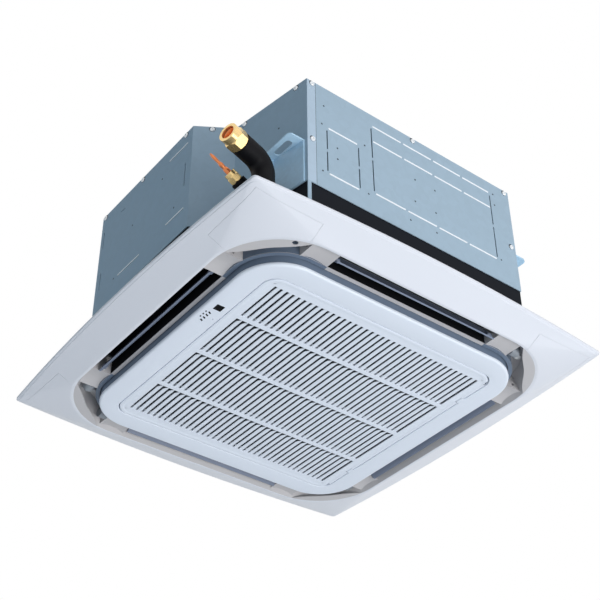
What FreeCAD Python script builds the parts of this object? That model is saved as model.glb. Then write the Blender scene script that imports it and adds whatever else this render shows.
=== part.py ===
import FreeCAD, Part
import math
import os

# Ceiling fan coil unit, four-way cassette form. Millimetres, +Z up.
# The origin is the centre of the four hanger slots, in the hanger plates' middle plane.
# Heights called "rise" are measured up from the flange's lower outer edge, "drop" down from it.

# Hanging points
hanger_height = 163.0
slot_spacing_x = 484.0
slot_spacing_y = 432.0
slot_width = 11.0
slot_length = 34.0
hanger_sheet = 2.5
hanger_end_margin = 12.0
hanger_edge_margin = 6.5
hanger_corner_radius = 7.0
hanger_gusset_depth = 22.0

# Room between pieces
seam = 0.3
running_clearance = 0.05
screw_clearance = 0.2

# Face panel
panel_width = 650.0
edge_bow = 12.2
panel_corner_cut = 5.0
rim_thickness = 5.0
rim_land = 8.0
skin = 3.0
flange_drop = 20.0
opening_width = 558.0
opening_corner_radius = 113.0
cover_length = 105.8
cover_edge_margin = 11.0

# Outlet ring behind the flange
liner_rise = 14.0
liner_wall = 3.0
roof_thickness = 4.0
liner_lean = 17.0
rail_width = 6.0
rail_drop = 14.0
outlet_length = 288.0
block_length = 43.0
block_drop = 15.0
block_saddle_depth = 3.5

# Louvres
louvre_chord = 23.0
louvre_thickness = 2.2
louvre_camber = 2.0
louvre_tilt = 60.0
louvre_pivot_drop = 8.0
louvre_end_gap = 1.5
pivot_radius = 2.5
bush_wall = 1.5
bush_length = 8.0
motor_radius = 9.0
motor_length = 13.0
motor_offset = 6.0

# Centre frame and intake grille
centre_drop = 30.0
centre_width = 473.0
centre_corner_radius = 69.0
frame_skin = 3.0
grille_width = 404.0
grille_corner_radius = 25.0
grille_gap = 0.6
grille_corner_ease = 2.0
grille_thickness = 4.0
grille_rim_width = 4.0
grille_rim_height = 3.0
bank_count = 4
slot_field_width = 356.0
slot_field_length = 372.0
bank_rib = 8.0
bank_pitch = 100.0
slat_pitch = 9.75
air_slot_width = 3.8
air_slot_flare = 3.0
air_slot_flare_length = 5.0
hinge_radius = 2.5
hinge_lug_spacing = 260.0
hinge_lug_width = 12.0
hinge_pin_radius = 1.2
hinge_pin_length = 32.0
filter_width = 372.0
filter_frame_width = 8.0
filter_thickness = 6.0
filter_mesh_thickness = 0.6
filter_standoff = 6.0
filter_cells = 6
window_size = 12.0
window_x = 101.0
window_y = -218.0
light_x = 73.0
light_y = -224.0
light_pitch_x = 6.0
light_pitch_y = 5.0
light_length = 3.2
light_width = 1.6
board_length = 96.0
board_width = 24.0
board_thickness = 1.6
catch_spacing = 330.0
catch_width = 18.0
catch_depth = 12.0
catch_height = 9.0

# Panel fixing
seal_thickness = 3.0
panel_screw_radius = 2.5
panel_screw_head_radius = 5.0
panel_screw_head_height = 3.4
panel_screw_length = 34.0

# Casing
body_width = 552.0
casing_rise = 284.0
band_rise = 87.0
side_wall_length = 400.0
front_wall_end = 160.0
pipe_wall_end = 100.0
pipe_notch_x = 134.0
recess_angle = 9.2
sheet = 1.2
corner_lap = 18.0
corner_strip_width = 6.0
corner_strip_drop = 38.0
insulation_thickness = 8.0
screw_head_radius = 3.2
screw_head_height = 1.6
screw_radius = 1.5
screw_length = 6.0
screw_edge = 6.0
screw_drop = 18.0
knockout_slit = 2.0
knockout_bridge = 5.0

# Drain pan
pan_step_rise = 46.0
pan_chamfer = 76.0
pan_recess_width = 444.0
pan_recess_radius = 60.0
pan_recess_rise = 40.0
trough_rise = 62.0
trough_margin = 9.0
duct_width = 19.0
duct_roof = 8.0
sump_size = 42.0
sump_offset = 170.0

# Heat exchanger
coil_pump_gap = 8.7
coil_half_y = 185.0
coil_depth = 22.0
coil_corner_radius = 45.0
coil_top_gap = 4.0
coil_gap_x = 105.0
coil_gap_y = 95.0
end_plate_thickness = 1.5
end_plate_margin = 2.0
hairpin_rows = 8
hairpin_radius = 3.5

# Refrigerant pipes
gas_pipe_radius = 7.94
gas_sleeve_radius = 16.0
gas_x = 236.0
gas_stand_off = 38.0
gas_exit_rise = 66.0
gas_run_up = 53.0
gas_bend = 22.0
gas_slope = 3.0
gas_turn = 14.0
gas_reach = 61.5
gas_nut_flats = 29.0
gas_nut_length = 25.0
gas_nut_thread_radius = 10.1
gas_nut_thread_depth = 12.0
gas_inside_run = 40.0
gas_riser_top = 205.0
liquid_pipe_radius = 3.18
liquid_sleeve_radius = 11.0
liquid_x = 199.0
liquid_stand_off = 24.0
liquid_exit_rise = 63.0
liquid_run_up = 31.0
liquid_bend = 14.0
liquid_slope = 28.0
liquid_reach = 43.6
liquid_nut_flats = 17.0
liquid_nut_length = 16.0
liquid_stub_length = 36.0
liquid_stub_tip_radius = 1.0
liquid_inside_run = 36.0
liquid_riser_top = 170.0
feeder_count = 4
feeder_radius = 2.6
pipe_fit = 0.15
pipe_wall = 1.0

# Fan
impeller_radius = 150.0
impeller_low_rise = 118.0
impeller_top_rise = 206.0
impeller_plate = 3.0
inlet_ring_radius = 113.0
inlet_ring_height = 18.0
blade_count = 8
blade_inner_radius = 92.0
blade_sweep = 42.0
blade_thickness = 3.0
hub_radius = 17.0
hub_length = 42.0
hub_boss_length = 18.0
shaft_radius = 6.0
shaft_grip = 28.0
shaft_tail = 14.0
shaft_nut_flats = 17.0
shaft_nut_height = 9.0
fan_motor_radius = 58.0
fan_motor_height = 56.0
motor_hub_gap = 6.0
motor_plate = 3.0
motor_plate_margin = 14.0
rubber_radius = 9.0
rubber_count = 4
bell_throat_radius = 108.0
bell_mouth_radius = 128.0
bell_wall = 2.0
bell_throat_height = 44.0
bell_curve_height = 26.0
bell_plate = 2.5
bell_plate_width = 428.0
bell_plate_radius = 55.0

# Control box
box_width = 60.0
box_length = 260.0
box_height = 42.0
box_wall = 1.2
box_offset = 166.0
circuit_margin = 6.0
circuit_thickness = 1.6
circuit_height = 12.0
terminal_length = 60.0
terminal_width = 22.0
terminal_height = 16.0

# Condensate parts and cable entry
pump_radius = 19.0
pump_height = 62.0
pump_motor_radius = 15.0
pump_motor_height = 36.0
spigot_radius = 13.0
spigot_bore = 10.5
spigot_reach = 32.0
spigot_flange_radius = 19.0
spigot_flange = 3.0
spigot_rise = 196.0
drain_hose_radius = 10.0
drain_bend = 13.0
float_radius = 11.0
float_height = 16.0
float_stem_radius = 2.5
float_travel = 14.0
float_collar = 3.0
float_clearance = 0.08
float_bracket_rise = 118.0
float_bracket_width = 14.0
float_bracket_thickness = 3.0
grommet_radius = 13.0
grommet_bore = 8.0
grommet_length = 9.0
grommet_lip = 3.0
grommet_y = -120.0
grommet_rise = 120.0

# Derived levels
rim_z = -hanger_height
rim_top = rim_z + rim_thickness
lip_z = rim_z - flange_drop
face_z = rim_z - centre_drop
liner_top = rim_z + liner_rise
roof_low = liner_top - roof_thickness
rail_z = rim_z - rail_drop
block_z = rim_z - block_drop
pivot_z = rim_z - louvre_pivot_drop
seal_top = liner_top + seal_thickness
pan_step = rim_z + pan_step_rise
band_top = rim_z + band_rise
casing_top = rim_z + casing_rise
ceiling_sheet_low = casing_top - sheet
lining_low = ceiling_sheet_low - insulation_thickness
recess_roof = rim_z + pan_recess_rise
trough_floor = rim_z + trough_rise

# Derived half sizes and distances from the centre line
panel_half = panel_width / 2
opening_half = opening_width / 2
centre_half = centre_width / 2
grille_half = grille_width / 2
body_half = body_width / 2
lining_face = body_half - sheet - seam - insulation_thickness
sump_reach = lining_face - seam - pump_radius - trough_margin / 2
coil_half_x = sump_reach - pump_radius - coil_pump_gap
wall_end = side_wall_length / 2
slot_x = slot_spacing_x / 2
slot_y = slot_spacing_y / 2
rail_inner = centre_half + seam
rail_outer = rail_inner + rail_width
liner_low_half = opening_half - seam
liner_high_half = liner_low_half - liner_lean
liner_low_z = lip_z + skin / 3
rail_corner_radius = centre_corner_radius + seam
outlet_half = outlet_length / 2


def lean_at(z):
    """Distance from the centre line of the ring wall's inner face at a height."""
    share = (z - liner_low_z) / (roof_low - liner_low_z)
    return liner_low_half - liner_wall - liner_lean * share


pivot_x = (rail_outer + lean_at(pivot_z)) / 2


def vec(x, y, z=0.0):
    """Short name for a vector."""
    return FreeCAD.Vector(x, y, z)


UP = vec(0, 0, 1)
ORIGIN = vec(0, 0, 0)


def box(x0, x1, y0, y1, z0, z1):
    """Box between two corners."""
    return Part.makeBox(x1 - x0, y1 - y0, z1 - z0, vec(x0, y0, z0))


def rod(radius, start, direction, length):
    """Round bar from a point along a direction."""
    return Part.makeCylinder(radius, length, start, direction)


def turned(shape, angle):
    """Copy of a shape turned about the unit's vertical axis."""
    copy = shape.copy()
    copy.rotate(ORIGIN, UP, angle)
    return copy


def around(shape):
    """The four copies of a shape made for one side."""
    return [turned(shape, 90 * side) for side in range(4)]


def prism(wire, z0, z1):
    """Solid between two heights over a closed wire drawn at any height."""
    face = Part.Face(wire)
    face.translate(vec(0, 0, z0 - wire.BoundBox.ZMin))
    return face.extrude(vec(0, 0, z1 - z0))


def polygon(points):
    """Closed wire through points of the plan."""
    corners = [vec(x, y) for x, y in points]
    return Part.makePolygon(corners + corners[:1])


def rounded_square(half, radius, z=0.0):
    """Closed wire of a square with round corners, sides and corners in turn."""
    flat = half - radius
    bevel = flat + radius * math.sqrt(0.5)
    edges = []
    for side in range(4):
        line = Part.LineSegment(vec(-flat, -half, z), vec(flat, -half, z)).toShape()
        arc = Part.Arc(vec(flat, -half, z), vec(bevel, -bevel, z), vec(half, -flat, z)).toShape()
        edges += [turned(line, 90 * side), turned(arc, 90 * side)]
    return Part.Wire(edges)


def bowed_square(half, z):
    """Closed wire of a square whose sides bow outwards by edge_bow."""
    corner = half - edge_bow
    radius = (corner ** 2 + edge_bow ** 2) / (2 * edge_bow)
    end = corner - panel_corner_cut
    end_y = -half + radius - math.sqrt(radius ** 2 - end ** 2)
    tip = corner - panel_corner_cut * (1 - math.sqrt(0.5))
    edges = []
    for side in range(4):
        bow = Part.Arc(vec(-end, end_y, z), vec(0, -half, z), vec(end, end_y, z)).toShape()
        nose = Part.Arc(vec(end, end_y, z), vec(tip, -tip, z), vec(-end_y, -end, z)).toShape()
        edges += [turned(bow, 90 * side), turned(nose, 90 * side)]
    return Part.Wire(edges)


def rounded_slab(half, radius, z0, z1):
    """Solid slab over a rounded square."""
    return prism(rounded_square(half, radius), z0, z1)


def fused(shapes):
    """One solid from pieces that touch."""
    return shapes[0].fuse(shapes[1:]).removeSplitter()


def hexagon(flats, start, direction, length):
    """Hexagonal bar with its corners turned off at both ends."""
    reach = flats / math.sqrt(3)
    points = [vec(reach * math.cos(math.radians(60 * k)), reach * math.sin(math.radians(60 * k))) for k in range(7)]
    bar = Part.Face(Part.makePolygon(points)).extrude(vec(0, 0, length))
    chamfer = reach - flats / 2
    cap = Part.makeCone(flats / 2, reach, chamfer)
    far_cap = Part.makeCone(reach, flats / 2, chamfer, vec(0, 0, length - chamfer))
    middle = Part.makeCylinder(reach, length - 2 * chamfer, vec(0, 0, chamfer))
    bar = bar.common(fused([cap, middle, far_cap]))
    bar.Placement = FreeCAD.Placement(start, FreeCAD.Rotation(UP, direction))
    return bar


def bent_path(points, bend):
    """Wire of straight runs through points, joined by tangent arcs of one radius."""
    edges = []
    start = points[0]
    for before, corner, after in zip(points, points[1:], points[2:]):
        into = (corner - before).normalize()
        out = (after - corner).normalize()
        half_turn = into.getAngle(out) / 2
        run = bend * math.tan(half_turn)
        first = corner - into * run
        last = corner + out * run
        middle = corner + (out - into).normalize() * (bend / math.cos(half_turn) - bend)
        edges.append(Part.LineSegment(start, first).toShape())
        edges.append(Part.Arc(first, middle, last).toShape())
        start = last
    edges.append(Part.LineSegment(start, points[-1]).toShape())
    return Part.Wire(edges)


def bent_rod(points, bend, radius):
    """Round bar that follows straight runs and tangent arcs."""
    path = bent_path(points, bend)
    ring = Part.Wire(Part.makeCircle(radius, points[0], points[1] - points[0]))
    return path.makePipeShell([ring], True, False)


def inset(points, distance):
    """Closed outline, drawn anticlockwise, with every side moved inwards."""
    moved = []
    count = len(points)
    for k in range(count):
        before, here, after = points[k - 1], points[k], points[(k + 1) % count]
        a = (here[0] - before[0], here[1] - before[1])
        b = (after[0] - here[0], after[1] - here[1])
        la, lb = math.hypot(*a), math.hypot(*b)
        na = (-a[1] / la, a[0] / la)
        nb = (-b[1] / lb, b[0] / lb)
        scale = distance / (1 + na[0] * nb[0] + na[1] * nb[1])
        moved.append((here[0] + scale * (na[0] + nb[0]), here[1] + scale * (na[1] + nb[1])))
    return moved


def recess_y(x):
    """Distance from the X axis of the slanted recess wall at a given x."""
    return wall_end + (body_half - abs(x)) * math.tan(math.radians(recess_angle))


def casing_outline():
    """Plan of the casing, anticlockwise from the pipe corner's inner bend."""
    step_y = recess_y(front_wall_end)
    return [
        (pipe_notch_x, -recess_y(pipe_notch_x)),
        (body_half, -wall_end),
        (body_half, -wall_end + corner_lap),
        (body_half, wall_end),
        (front_wall_end, step_y),
        (front_wall_end, body_half),
        (-front_wall_end, body_half),
        (-front_wall_end, step_y),
        (-body_half, wall_end),
        (-body_half, -wall_end),
        (-front_wall_end, -step_y),
        (-front_wall_end, -body_half),
        (pipe_wall_end, -body_half),
    ]


OUTLINE = casing_outline()
SHEET_INNER = inset(OUTLINE, sheet)


def outline_slab(distance, z0, z1):
    """Solid over the casing's plan, moved inwards."""
    return prism(polygon(inset(OUTLINE, distance)), z0, z1)


def wall_piece(first, last):
    """Bent sheet that follows the casing's plan between two of its corners."""
    indexes = [k % len(OUTLINE) for k in range(first, last + 1)]
    points = [OUTLINE[k] for k in indexes] + [SHEET_INNER[k] for k in reversed(indexes)]
    return prism(polygon(points), band_top, casing_top)


def slit(start, end, normal):
    """Cutter for one straight slit of a knock-out in an upright wall."""
    along = end - start
    across = along.cross(normal).normalize() * (knockout_slit / 2)
    corners = [start + across, end + across, end - across, start - across]
    face = Part.Face(Part.makePolygon(corners + corners[:1]))
    face.translate(normal * (-2 * sheet))
    return face.extrude(normal * (4 * sheet))


def slit_line(start, end, normal, pieces):
    """Cutters for a slit line that is broken by bridges."""
    step = (end - start) * (1.0 / pieces)
    margin = (end - start).normalize() * (knockout_bridge / 2)
    return [slit(start + step * k + margin, start + step * (k + 1) - margin, normal) for k in range(pieces)]


def export(name, *solids):
    """Write one named piece, or a group of like pieces, to its own file."""
    shape = solids[0] if len(solids) == 1 else Part.Compound(list(solids))
    shape.exportStep(os.path.join("parts", name + ".step"))


# Face panel

def flange_shell():
    """Dished flange with a bowed rim and a round-cornered opening."""
    inner = rounded_square(opening_half, opening_corner_radius, lip_z)
    outside = Part.makeLoft([inner, bowed_square(panel_half, rim_z), bowed_square(panel_half, rim_top)], True, True)
    inner_high = rounded_square(opening_half, opening_corner_radius, lip_z + skin)
    hollow = Part.makeLoft([inner_high, bowed_square(panel_half - rim_land, rim_top)], True, True)
    opening = rounded_slab(opening_half, opening_corner_radius, lip_z - skin, rim_top + skin)
    return outside.cut(hollow).cut(opening)


def cover_zone(gap):
    """Upright block over one corner cover, smaller by a gap all round."""
    outer = panel_half - edge_bow - cover_edge_margin
    start = outer - cover_length + gap
    end = outer - gap
    return box(start, end, start, end, lip_z - skin, rim_top + skin)


def build_flange():
    """Flange without its corners, and the four loose corner covers."""
    shell = flange_shell()
    zones = around(cover_zone(0))
    covers = [shell.common(zone).Solids[0] for zone in around(cover_zone(seam))]
    export("panel_flange", shell.cut(Part.Compound(zones)))
    export("panel_corner_covers", *covers)


def ring_void():
    """Space between the ring's leaning wall and its inner rail, below the roof."""
    low = rounded_square(liner_low_half - liner_wall - seam, opening_corner_radius - seam - liner_wall - seam, liner_low_z)
    high = rounded_square(
        liner_high_half - liner_wall - seam,
        opening_corner_radius - seam - liner_lean - liner_wall - seam,
        roof_low,
    )
    core = rounded_slab(rail_outer + seam, rail_corner_radius + rail_width + seam, lip_z - skin, roof_low + skin)
    return Part.makeLoft([low, high], True, True).cut(core)


def outlet_slot(z0, z1, width):
    """Upright cutter for the outlet on the right-hand side."""
    return box(rail_outer, rail_outer + width, -outlet_half, outlet_half, z0, z1)


def outlet_width():
    """Width of an outlet where it passes the ring's roof."""
    return lean_at(roof_low) - rail_outer


def panel_screw_points():
    """Plan positions of the screws that hold the panel to the body."""
    inner = rail_outer - rail_corner_radius * (1 - math.sqrt(0.5))
    outer = liner_high_half - (opening_corner_radius - liner_lean) * (1 - math.sqrt(0.5))
    place = (inner + outer) / 2
    return [(place * sx, place * sy) for sx in (1, -1) for sy in (1, -1)]


def screw_holes(z0, z1):
    """Clearance holes for the panel screws."""
    radius = panel_screw_radius + screw_clearance
    return [rod(radius, vec(x, y, z0), UP, z1 - z0) for x, y in panel_screw_points()]


def build_outlet_ring():
    """Ring of leaning wall, roof and inner rail that forms the four outlets."""
    radius = opening_corner_radius - seam
    outside = Part.makeLoft(
        [
            rounded_square(liner_low_half, radius, liner_low_z),
            rounded_square(liner_high_half, radius - liner_lean, roof_low),
            rounded_square(liner_high_half, radius - liner_lean, liner_top),
        ],
        True,
        True,
    )
    hollow = Part.makeLoft(
        [
            rounded_square(liner_low_half - liner_wall, radius - liner_wall, liner_low_z),
            rounded_square(liner_high_half - liner_wall, radius - liner_wall - liner_lean, roof_low),
        ],
        True,
        True,
    )
    core = rounded_slab(rail_inner, rail_corner_radius, lip_z - skin, liner_top + skin)
    rail = rounded_slab(rail_outer, rail_corner_radius + rail_width, rail_z, roof_low)
    slots = around(outlet_slot(roof_low - skin, liner_top + skin, outlet_width()))
    ring = outside.cut(hollow).fuse(rail).cut(core)
    ring = ring.cut(Part.Compound(slots + screw_holes(roof_low - skin, liner_top + skin)))
    export("outlet_ring", ring.removeSplitter())


def bush_hole(radius, start, length):
    """Cutter on the right-hand louvre's axis, on its far and near ends."""
    far = rod(radius, vec(pivot_x, start, pivot_z), vec(0, 1, 0), length)
    near = rod(radius, vec(pivot_x, -start, pivot_z), vec(0, -1, 0), length)
    return far.fuse(near)


def build_end_blocks():
    """Saddle-faced blocks that close each outlet's ends and carry the louvres."""
    void = ring_void()
    start = outlet_half + seam
    chord = block_length / 2
    saddle_radius = (chord ** 2 + block_saddle_depth ** 2) / (2 * block_saddle_depth)
    bore = pivot_radius + running_clearance
    blocks = []
    bushes = []
    for end in (1, -1):
        middle = end * (start + chord)
        span = box(rail_inner, opening_half, middle - chord, middle + chord, block_z, roof_low - seam)
        saddle_centre = vec(rail_inner, middle, block_z - saddle_radius + block_saddle_depth)
        saddle = rod(saddle_radius, saddle_centre, vec(1, 0, 0), opening_half - rail_inner)
        block = void.common(span).cut(saddle)
        block = block.cut(bush_hole(bore, start - seam, block_length + 2 * seam))
        block = block.cut(bush_hole(bore + bush_wall, start - seam, bush_length + seam))
        seat = rod(bore + bush_wall - running_clearance, vec(pivot_x, end * start, pivot_z), vec(0, end, 0), bush_length)
        bush = seat.cut(bush_hole(bore, start - seam, block_length))
        for side in range(4):
            blocks.append(turned(block.Solids[0], 90 * side))
            bushes.append(turned(bush, 90 * side))
    export("outlet_end_blocks", *blocks)
    export("louvre_bushes", *bushes)


def louvre_blade():
    """Cambered blade for the right-hand outlet, lying flat across it."""
    half = louvre_chord / 2
    length = outlet_half - louvre_end_gap
    low = -louvre_thickness / 2
    high = louvre_thickness / 2
    outer = Part.Arc(vec(-half, 0, low), vec(0, 0, low - louvre_camber), vec(half, 0, low)).toShape()
    inner = Part.Arc(vec(half, 0, high), vec(0, 0, high - louvre_camber), vec(-half, 0, high)).toShape()
    tip = Part.LineSegment(vec(half, 0, low), vec(half, 0, high)).toShape()
    tail = Part.LineSegment(vec(-half, 0, high), vec(-half, 0, low)).toShape()
    profile = Part.Face(Part.Wire([outer, tip, inner, tail]))
    profile.translate(vec(0, -length, louvre_camber / 2))
    return profile.extrude(vec(0, 2 * length, 0))


def build_louvre(name, side, motor_end):
    """One louvre with its two pivots, and the stepping motor that turns it."""
    blade_end = outlet_half - louvre_end_gap
    blade_low = louvre_blade()
    hubs = []
    pins = []
    for end in (1, -1):
        reach = seam + bush_length + louvre_end_gap
        if end == motor_end:
            reach = louvre_end_gap + 2 * seam + block_length + motor_length / 2
        pins.append(rod(pivot_radius, vec(0, end * (blade_end - bush_length), 0), vec(0, end, 0), reach + bush_length))
        hubs.append(rod(pivot_radius + 1.0, vec(0, end * (blade_end - bush_length), 0), vec(0, end, 0), bush_length))
    louvre = fused([blade_low] + hubs + pins)
    louvre.rotate(ORIGIN, vec(0, 1, 0), louvre_tilt)
    louvre.translate(vec(pivot_x, 0, pivot_z))
    export(name, turned(louvre, 90 * side))
    start = outlet_half + seam + block_length + seam
    centre = vec(pivot_x - motor_offset, motor_end * start, pivot_z)
    body = rod(motor_radius, centre, vec(0, motor_end, 0), motor_length)
    socket_bore = rod(
        pivot_radius + running_clearance,
        vec(pivot_x, motor_end * (start - seam), pivot_z),
        vec(0, motor_end, 0),
        motor_length / 2 + 2 * seam,
    )
    return turned(body.cut(socket_bore), 90 * side)


def build_louvres():
    """The four louvres and their motors."""
    sides = (("louvre_right", 0, 1), ("louvre_rear", 1, 1), ("louvre_left", 2, 1), ("louvre_front", 3, -1))
    export("louvre_motors", *[build_louvre(name, side, end) for name, side, end in sides])


def hinge_axis():
    """Place of the grille's hinge line in the plane across it."""
    return grille_half - hinge_radius, face_z + hinge_radius


def hinge_lug(width, reach):
    """Round-nosed lug on the hinge line, centred on the right-hand hinge."""
    y, z = hinge_axis()
    start = hinge_lug_spacing / 2 - width / 2
    nose = rod(hinge_radius, vec(start, y, z), vec(1, 0, 0), width)
    return fused([nose, box(start, start + width, y, y + reach, face_z, face_z + 2 * hinge_radius)])


def both_hinges(shape):
    """A hinge piece and its copy at the other end of the hinge line."""
    copy = shape.copy()
    copy.translate(vec(-hinge_lug_spacing, 0, 0))
    return [shape, copy]


def hinge_rod(radius, length):
    """Bar on the hinge line, centred on the right-hand hinge."""
    y, z = hinge_axis()
    return rod(radius, vec(hinge_lug_spacing / 2 - length / 2, y, z), vec(1, 0, 0), length)


def light_places():
    """Plan positions of the indicator lights."""
    return [(light_x + light_pitch_x * (k - 1), light_y + light_pitch_y * row) for k in range(3) for row in (0, 1)]


def light_block(x, y, gap, z0, z1):
    """Small window of one indicator light."""
    half_x = light_length / 2 + gap
    half_y = light_width / 2 + gap
    return box(x - half_x, x + half_x, y - half_y, y + half_y, z0, z1)


def window_block(gap, z0, z1):
    """Square window of the remote receiver."""
    half = window_size / 2 + gap
    return box(window_x - half, window_x + half, window_y - half, window_y + half, z0, z1)


def build_centre_frame():
    """Frame that hangs below the flange round the intake grille, with its small parts."""
    inner = grille_half + grille_gap
    inner_radius = grille_corner_radius - grille_corner_ease
    plate_top = face_z + frame_skin
    plate = rounded_slab(centre_half, centre_corner_radius, face_z, plate_top)
    skirt_hollow = rounded_slab(centre_half - frame_skin, centre_corner_radius - frame_skin, plate_top, roof_low + skin)
    skirt = rounded_slab(centre_half, centre_corner_radius, plate_top, roof_low).cut(skirt_hollow)
    opening = rounded_slab(inner, inner_radius, face_z - skin, roof_low)
    curb_top = face_z + frame_skin + 2 * hinge_radius
    curb = rounded_slab(inner + frame_skin, inner_radius + frame_skin, plate_top, curb_top)
    lug = hinge_lug(hinge_lug_width, grille_gap + hinge_radius + frame_skin / 2)
    frame = fused([plate, skirt, curb]).cut(opening)
    frame = fused([frame] + both_hinges(lug))
    cutters = both_hinges(hinge_rod(hinge_pin_radius + running_clearance, hinge_pin_length))
    cutters.append(window_block(seam / 2, face_z - skin, plate_top + skin))
    cutters += [light_block(x, y, seam / 2, face_z - skin, plate_top + skin) for x, y in light_places()]
    frame = frame.cut(Part.Compound(cutters))
    export("centre_frame", frame)
    guide_top = plate_top + catch_height
    export("receiver_window", window_block(0, face_z, guide_top))
    export("indicator_lights", *[light_block(x, y, 0, face_z, guide_top) for x, y in light_places()])
    board_x = (window_x + light_x) / 2
    board_y = -(centre_half + inner) / 2
    board_low = guide_top + seam
    export(
        "display_board",
        box(
            board_x - board_length / 2,
            board_x + board_length / 2,
            board_y - board_width / 2,
            board_y + board_width / 2,
            board_low,
            board_low + board_thickness,
        ),
    )
    export("grille_hinge_pins", *both_hinges(hinge_rod(hinge_pin_radius, hinge_pin_length - 2 * seam)))
    catches = []
    for side in (1, -1):
        x = side * catch_spacing / 2
        y = -(inner + frame_skin + seam)
        catches.append(box(x - catch_width / 2, x + catch_width / 2, y - catch_depth, y, plate_top, plate_top + catch_height))
    export("grille_catches", *catches)


def air_slot(x0, x1, y):
    """Cutter for one air slot, flared at its right-hand end."""
    low = y - air_slot_width / 2
    high = y + air_slot_width / 2
    points = [(x0, low), (x1, low), (x1, high + air_slot_flare), (x1 - air_slot_flare_length, high), (x0, high)]
    return prism(polygon(points), face_z - skin, face_z + grille_thickness + skin)


def bank_edges():
    """Left and right ends of each bank of slots."""
    ends = [-slot_field_width / 2]
    for k in range(1, bank_count):
        rib = bank_pitch * (k - bank_count / 2)
        ends += [rib - bank_rib / 2, rib + bank_rib / 2]
    ends.append(slot_field_width / 2)
    return list(zip(ends[0::2], ends[1::2]))


def build_grille():
    """Slotted intake grille with its hinge barrel and back ribs."""
    half = grille_half
    axis_y, axis_z = hinge_axis()
    top = face_z + grille_thickness
    plate = rounded_slab(half, grille_corner_radius, face_z, top)
    rim = rounded_slab(half, grille_corner_radius, top, top + grille_rim_height)
    rim = rim.cut(rounded_slab(half - grille_rim_width, grille_corner_radius - grille_rim_width, top, top + 2 * grille_rim_height))
    rear = box(-half, half, axis_y, half + skin, face_z - skin, top + 2 * grille_rim_height)
    flat = half - grille_corner_radius
    barrel_half = flat + 2 * hinge_radius
    barrel = rod(hinge_radius, vec(-barrel_half, axis_y, axis_z), vec(1, 0, 0), 2 * barrel_half)
    body = fused([plate, rim]).cut(rear)
    rib_top = top + filter_standoff - seam
    banks = bank_edges()
    ribs = []
    for (before, after) in zip(banks, banks[1:]):
        middle = (before[1] + after[0]) / 2
        ribs.append(box(middle - skin / 2, middle + skin / 2, -slot_field_length / 2, slot_field_length / 2, top, rib_top))
    body = fused([body, barrel] + ribs)
    count = int(slot_field_length / slat_pitch)
    first = -(count - 1) * slat_pitch / 2
    cutters = [air_slot(x0, x1, first + slat_pitch * k) for x0, x1 in banks for k in range(count)]
    notch_gap = grille_gap + seam
    notch = box(
        (hinge_lug_spacing - hinge_lug_width) / 2 - notch_gap,
        (hinge_lug_spacing + hinge_lug_width) / 2 + notch_gap,
        axis_y - hinge_radius - notch_gap,
        half + skin,
        face_z - skin,
        top + 2 * grille_rim_height,
    )
    cutters += both_hinges(notch)
    cutters += both_hinges(hinge_rod(hinge_pin_radius + running_clearance, hinge_pin_length))
    relief_y = axis_y - hinge_radius - seam
    for side in (1, -1):
        near, far = sorted((side * barrel_half, side * (half + skin)))
        cutters.append(box(near, far, relief_y, half + skin, face_z - skin, top + 2 * grille_rim_height))
    export("intake_grille", body.cut(Part.Compound(cutters)))


def build_filter():
    """Washable filter: a frame with cross ribs, and its mesh."""
    low = face_z + grille_thickness + filter_standoff
    top = low + filter_thickness
    half = filter_width / 2
    inner = half - filter_frame_width
    frame = box(-half, half, -half, half, low, top).cut(box(-inner, inner, -inner, inner, low - skin, top + skin))
    rib = filter_frame_width / 2
    ribs = []
    for k in range(1, filter_cells):
        place = filter_width * k / filter_cells - half
        ribs.append(box(place - rib / 2, place + rib / 2, -inner, inner, low, top - filter_thickness / 3))
        ribs.append(box(-inner, inner, place - rib / 2, place + rib / 2, low, top - filter_thickness / 3))
    frame = fused([frame] + ribs)
    mesh_low = top - filter_thickness / 3
    export("air_filter_frame", frame)
    mesh_half = inner - seam
    export(
        "air_filter_mesh",
        box(-mesh_half, mesh_half, -mesh_half, mesh_half, mesh_low + seam, mesh_low + seam + filter_mesh_thickness),
    )


def build_panel_fixing():
    """Foam seal between panel and body, and the screws that hold the panel up."""
    seal = rounded_slab(liner_high_half, opening_corner_radius - seam - liner_lean, liner_top, seal_top)
    seal = seal.cut(rounded_slab(rail_inner, rail_corner_radius, liner_top - skin, seal_top + skin))
    slots = around(outlet_slot(liner_top - skin, seal_top + skin, outlet_width()))
    export("panel_seal", seal.cut(Part.Compound(slots + screw_holes(liner_top - skin, seal_top + skin))))
    screws = []
    for x, y in panel_screw_points():
        head_low = roof_low - panel_screw_head_height
        head = rod(panel_screw_head_radius, vec(x, y, head_low), UP, panel_screw_head_height)
        shank = rod(panel_screw_radius, vec(x, y, head_low), UP, panel_screw_head_height + panel_screw_length)
        screws.append(fused([head, shank]))
    export("panel_screws", *screws)


# Casing

def casing_screw_places():
    """Position and outward direction of each casing screw."""
    high = casing_top - screw_edge
    middle = (band_top + casing_top) / 2 - screw_drop
    places = []
    for sx in (1, -1):
        out = vec(sx, 0, 0)
        places += [(vec(sx * body_half, y, high), out) for y in (-wall_end + corner_lap / 2, 0, wall_end - corner_lap / 2)]
        places += [(vec(sx * body_half, sy * (wall_end - corner_lap / 2), middle), out) for sy in (1, -1)]
    front = pipe_wall_end - corner_lap
    for sy in (1, -1):
        out = vec(0, sy, 0)
        ends = (-front_wall_end + corner_lap / 2, (front - front_wall_end) / 2, front)
        places += [(vec(x, sy * body_half, high), out) for x in ends]
    return places


def casing_screw_cutters():
    """Holes that the casing screws pass through."""
    length = screw_length + 2 * sheet
    radius = screw_radius + screw_clearance
    return [rod(radius, place + out * sheet, out * -1, length) for place, out in casing_screw_places()]


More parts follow.
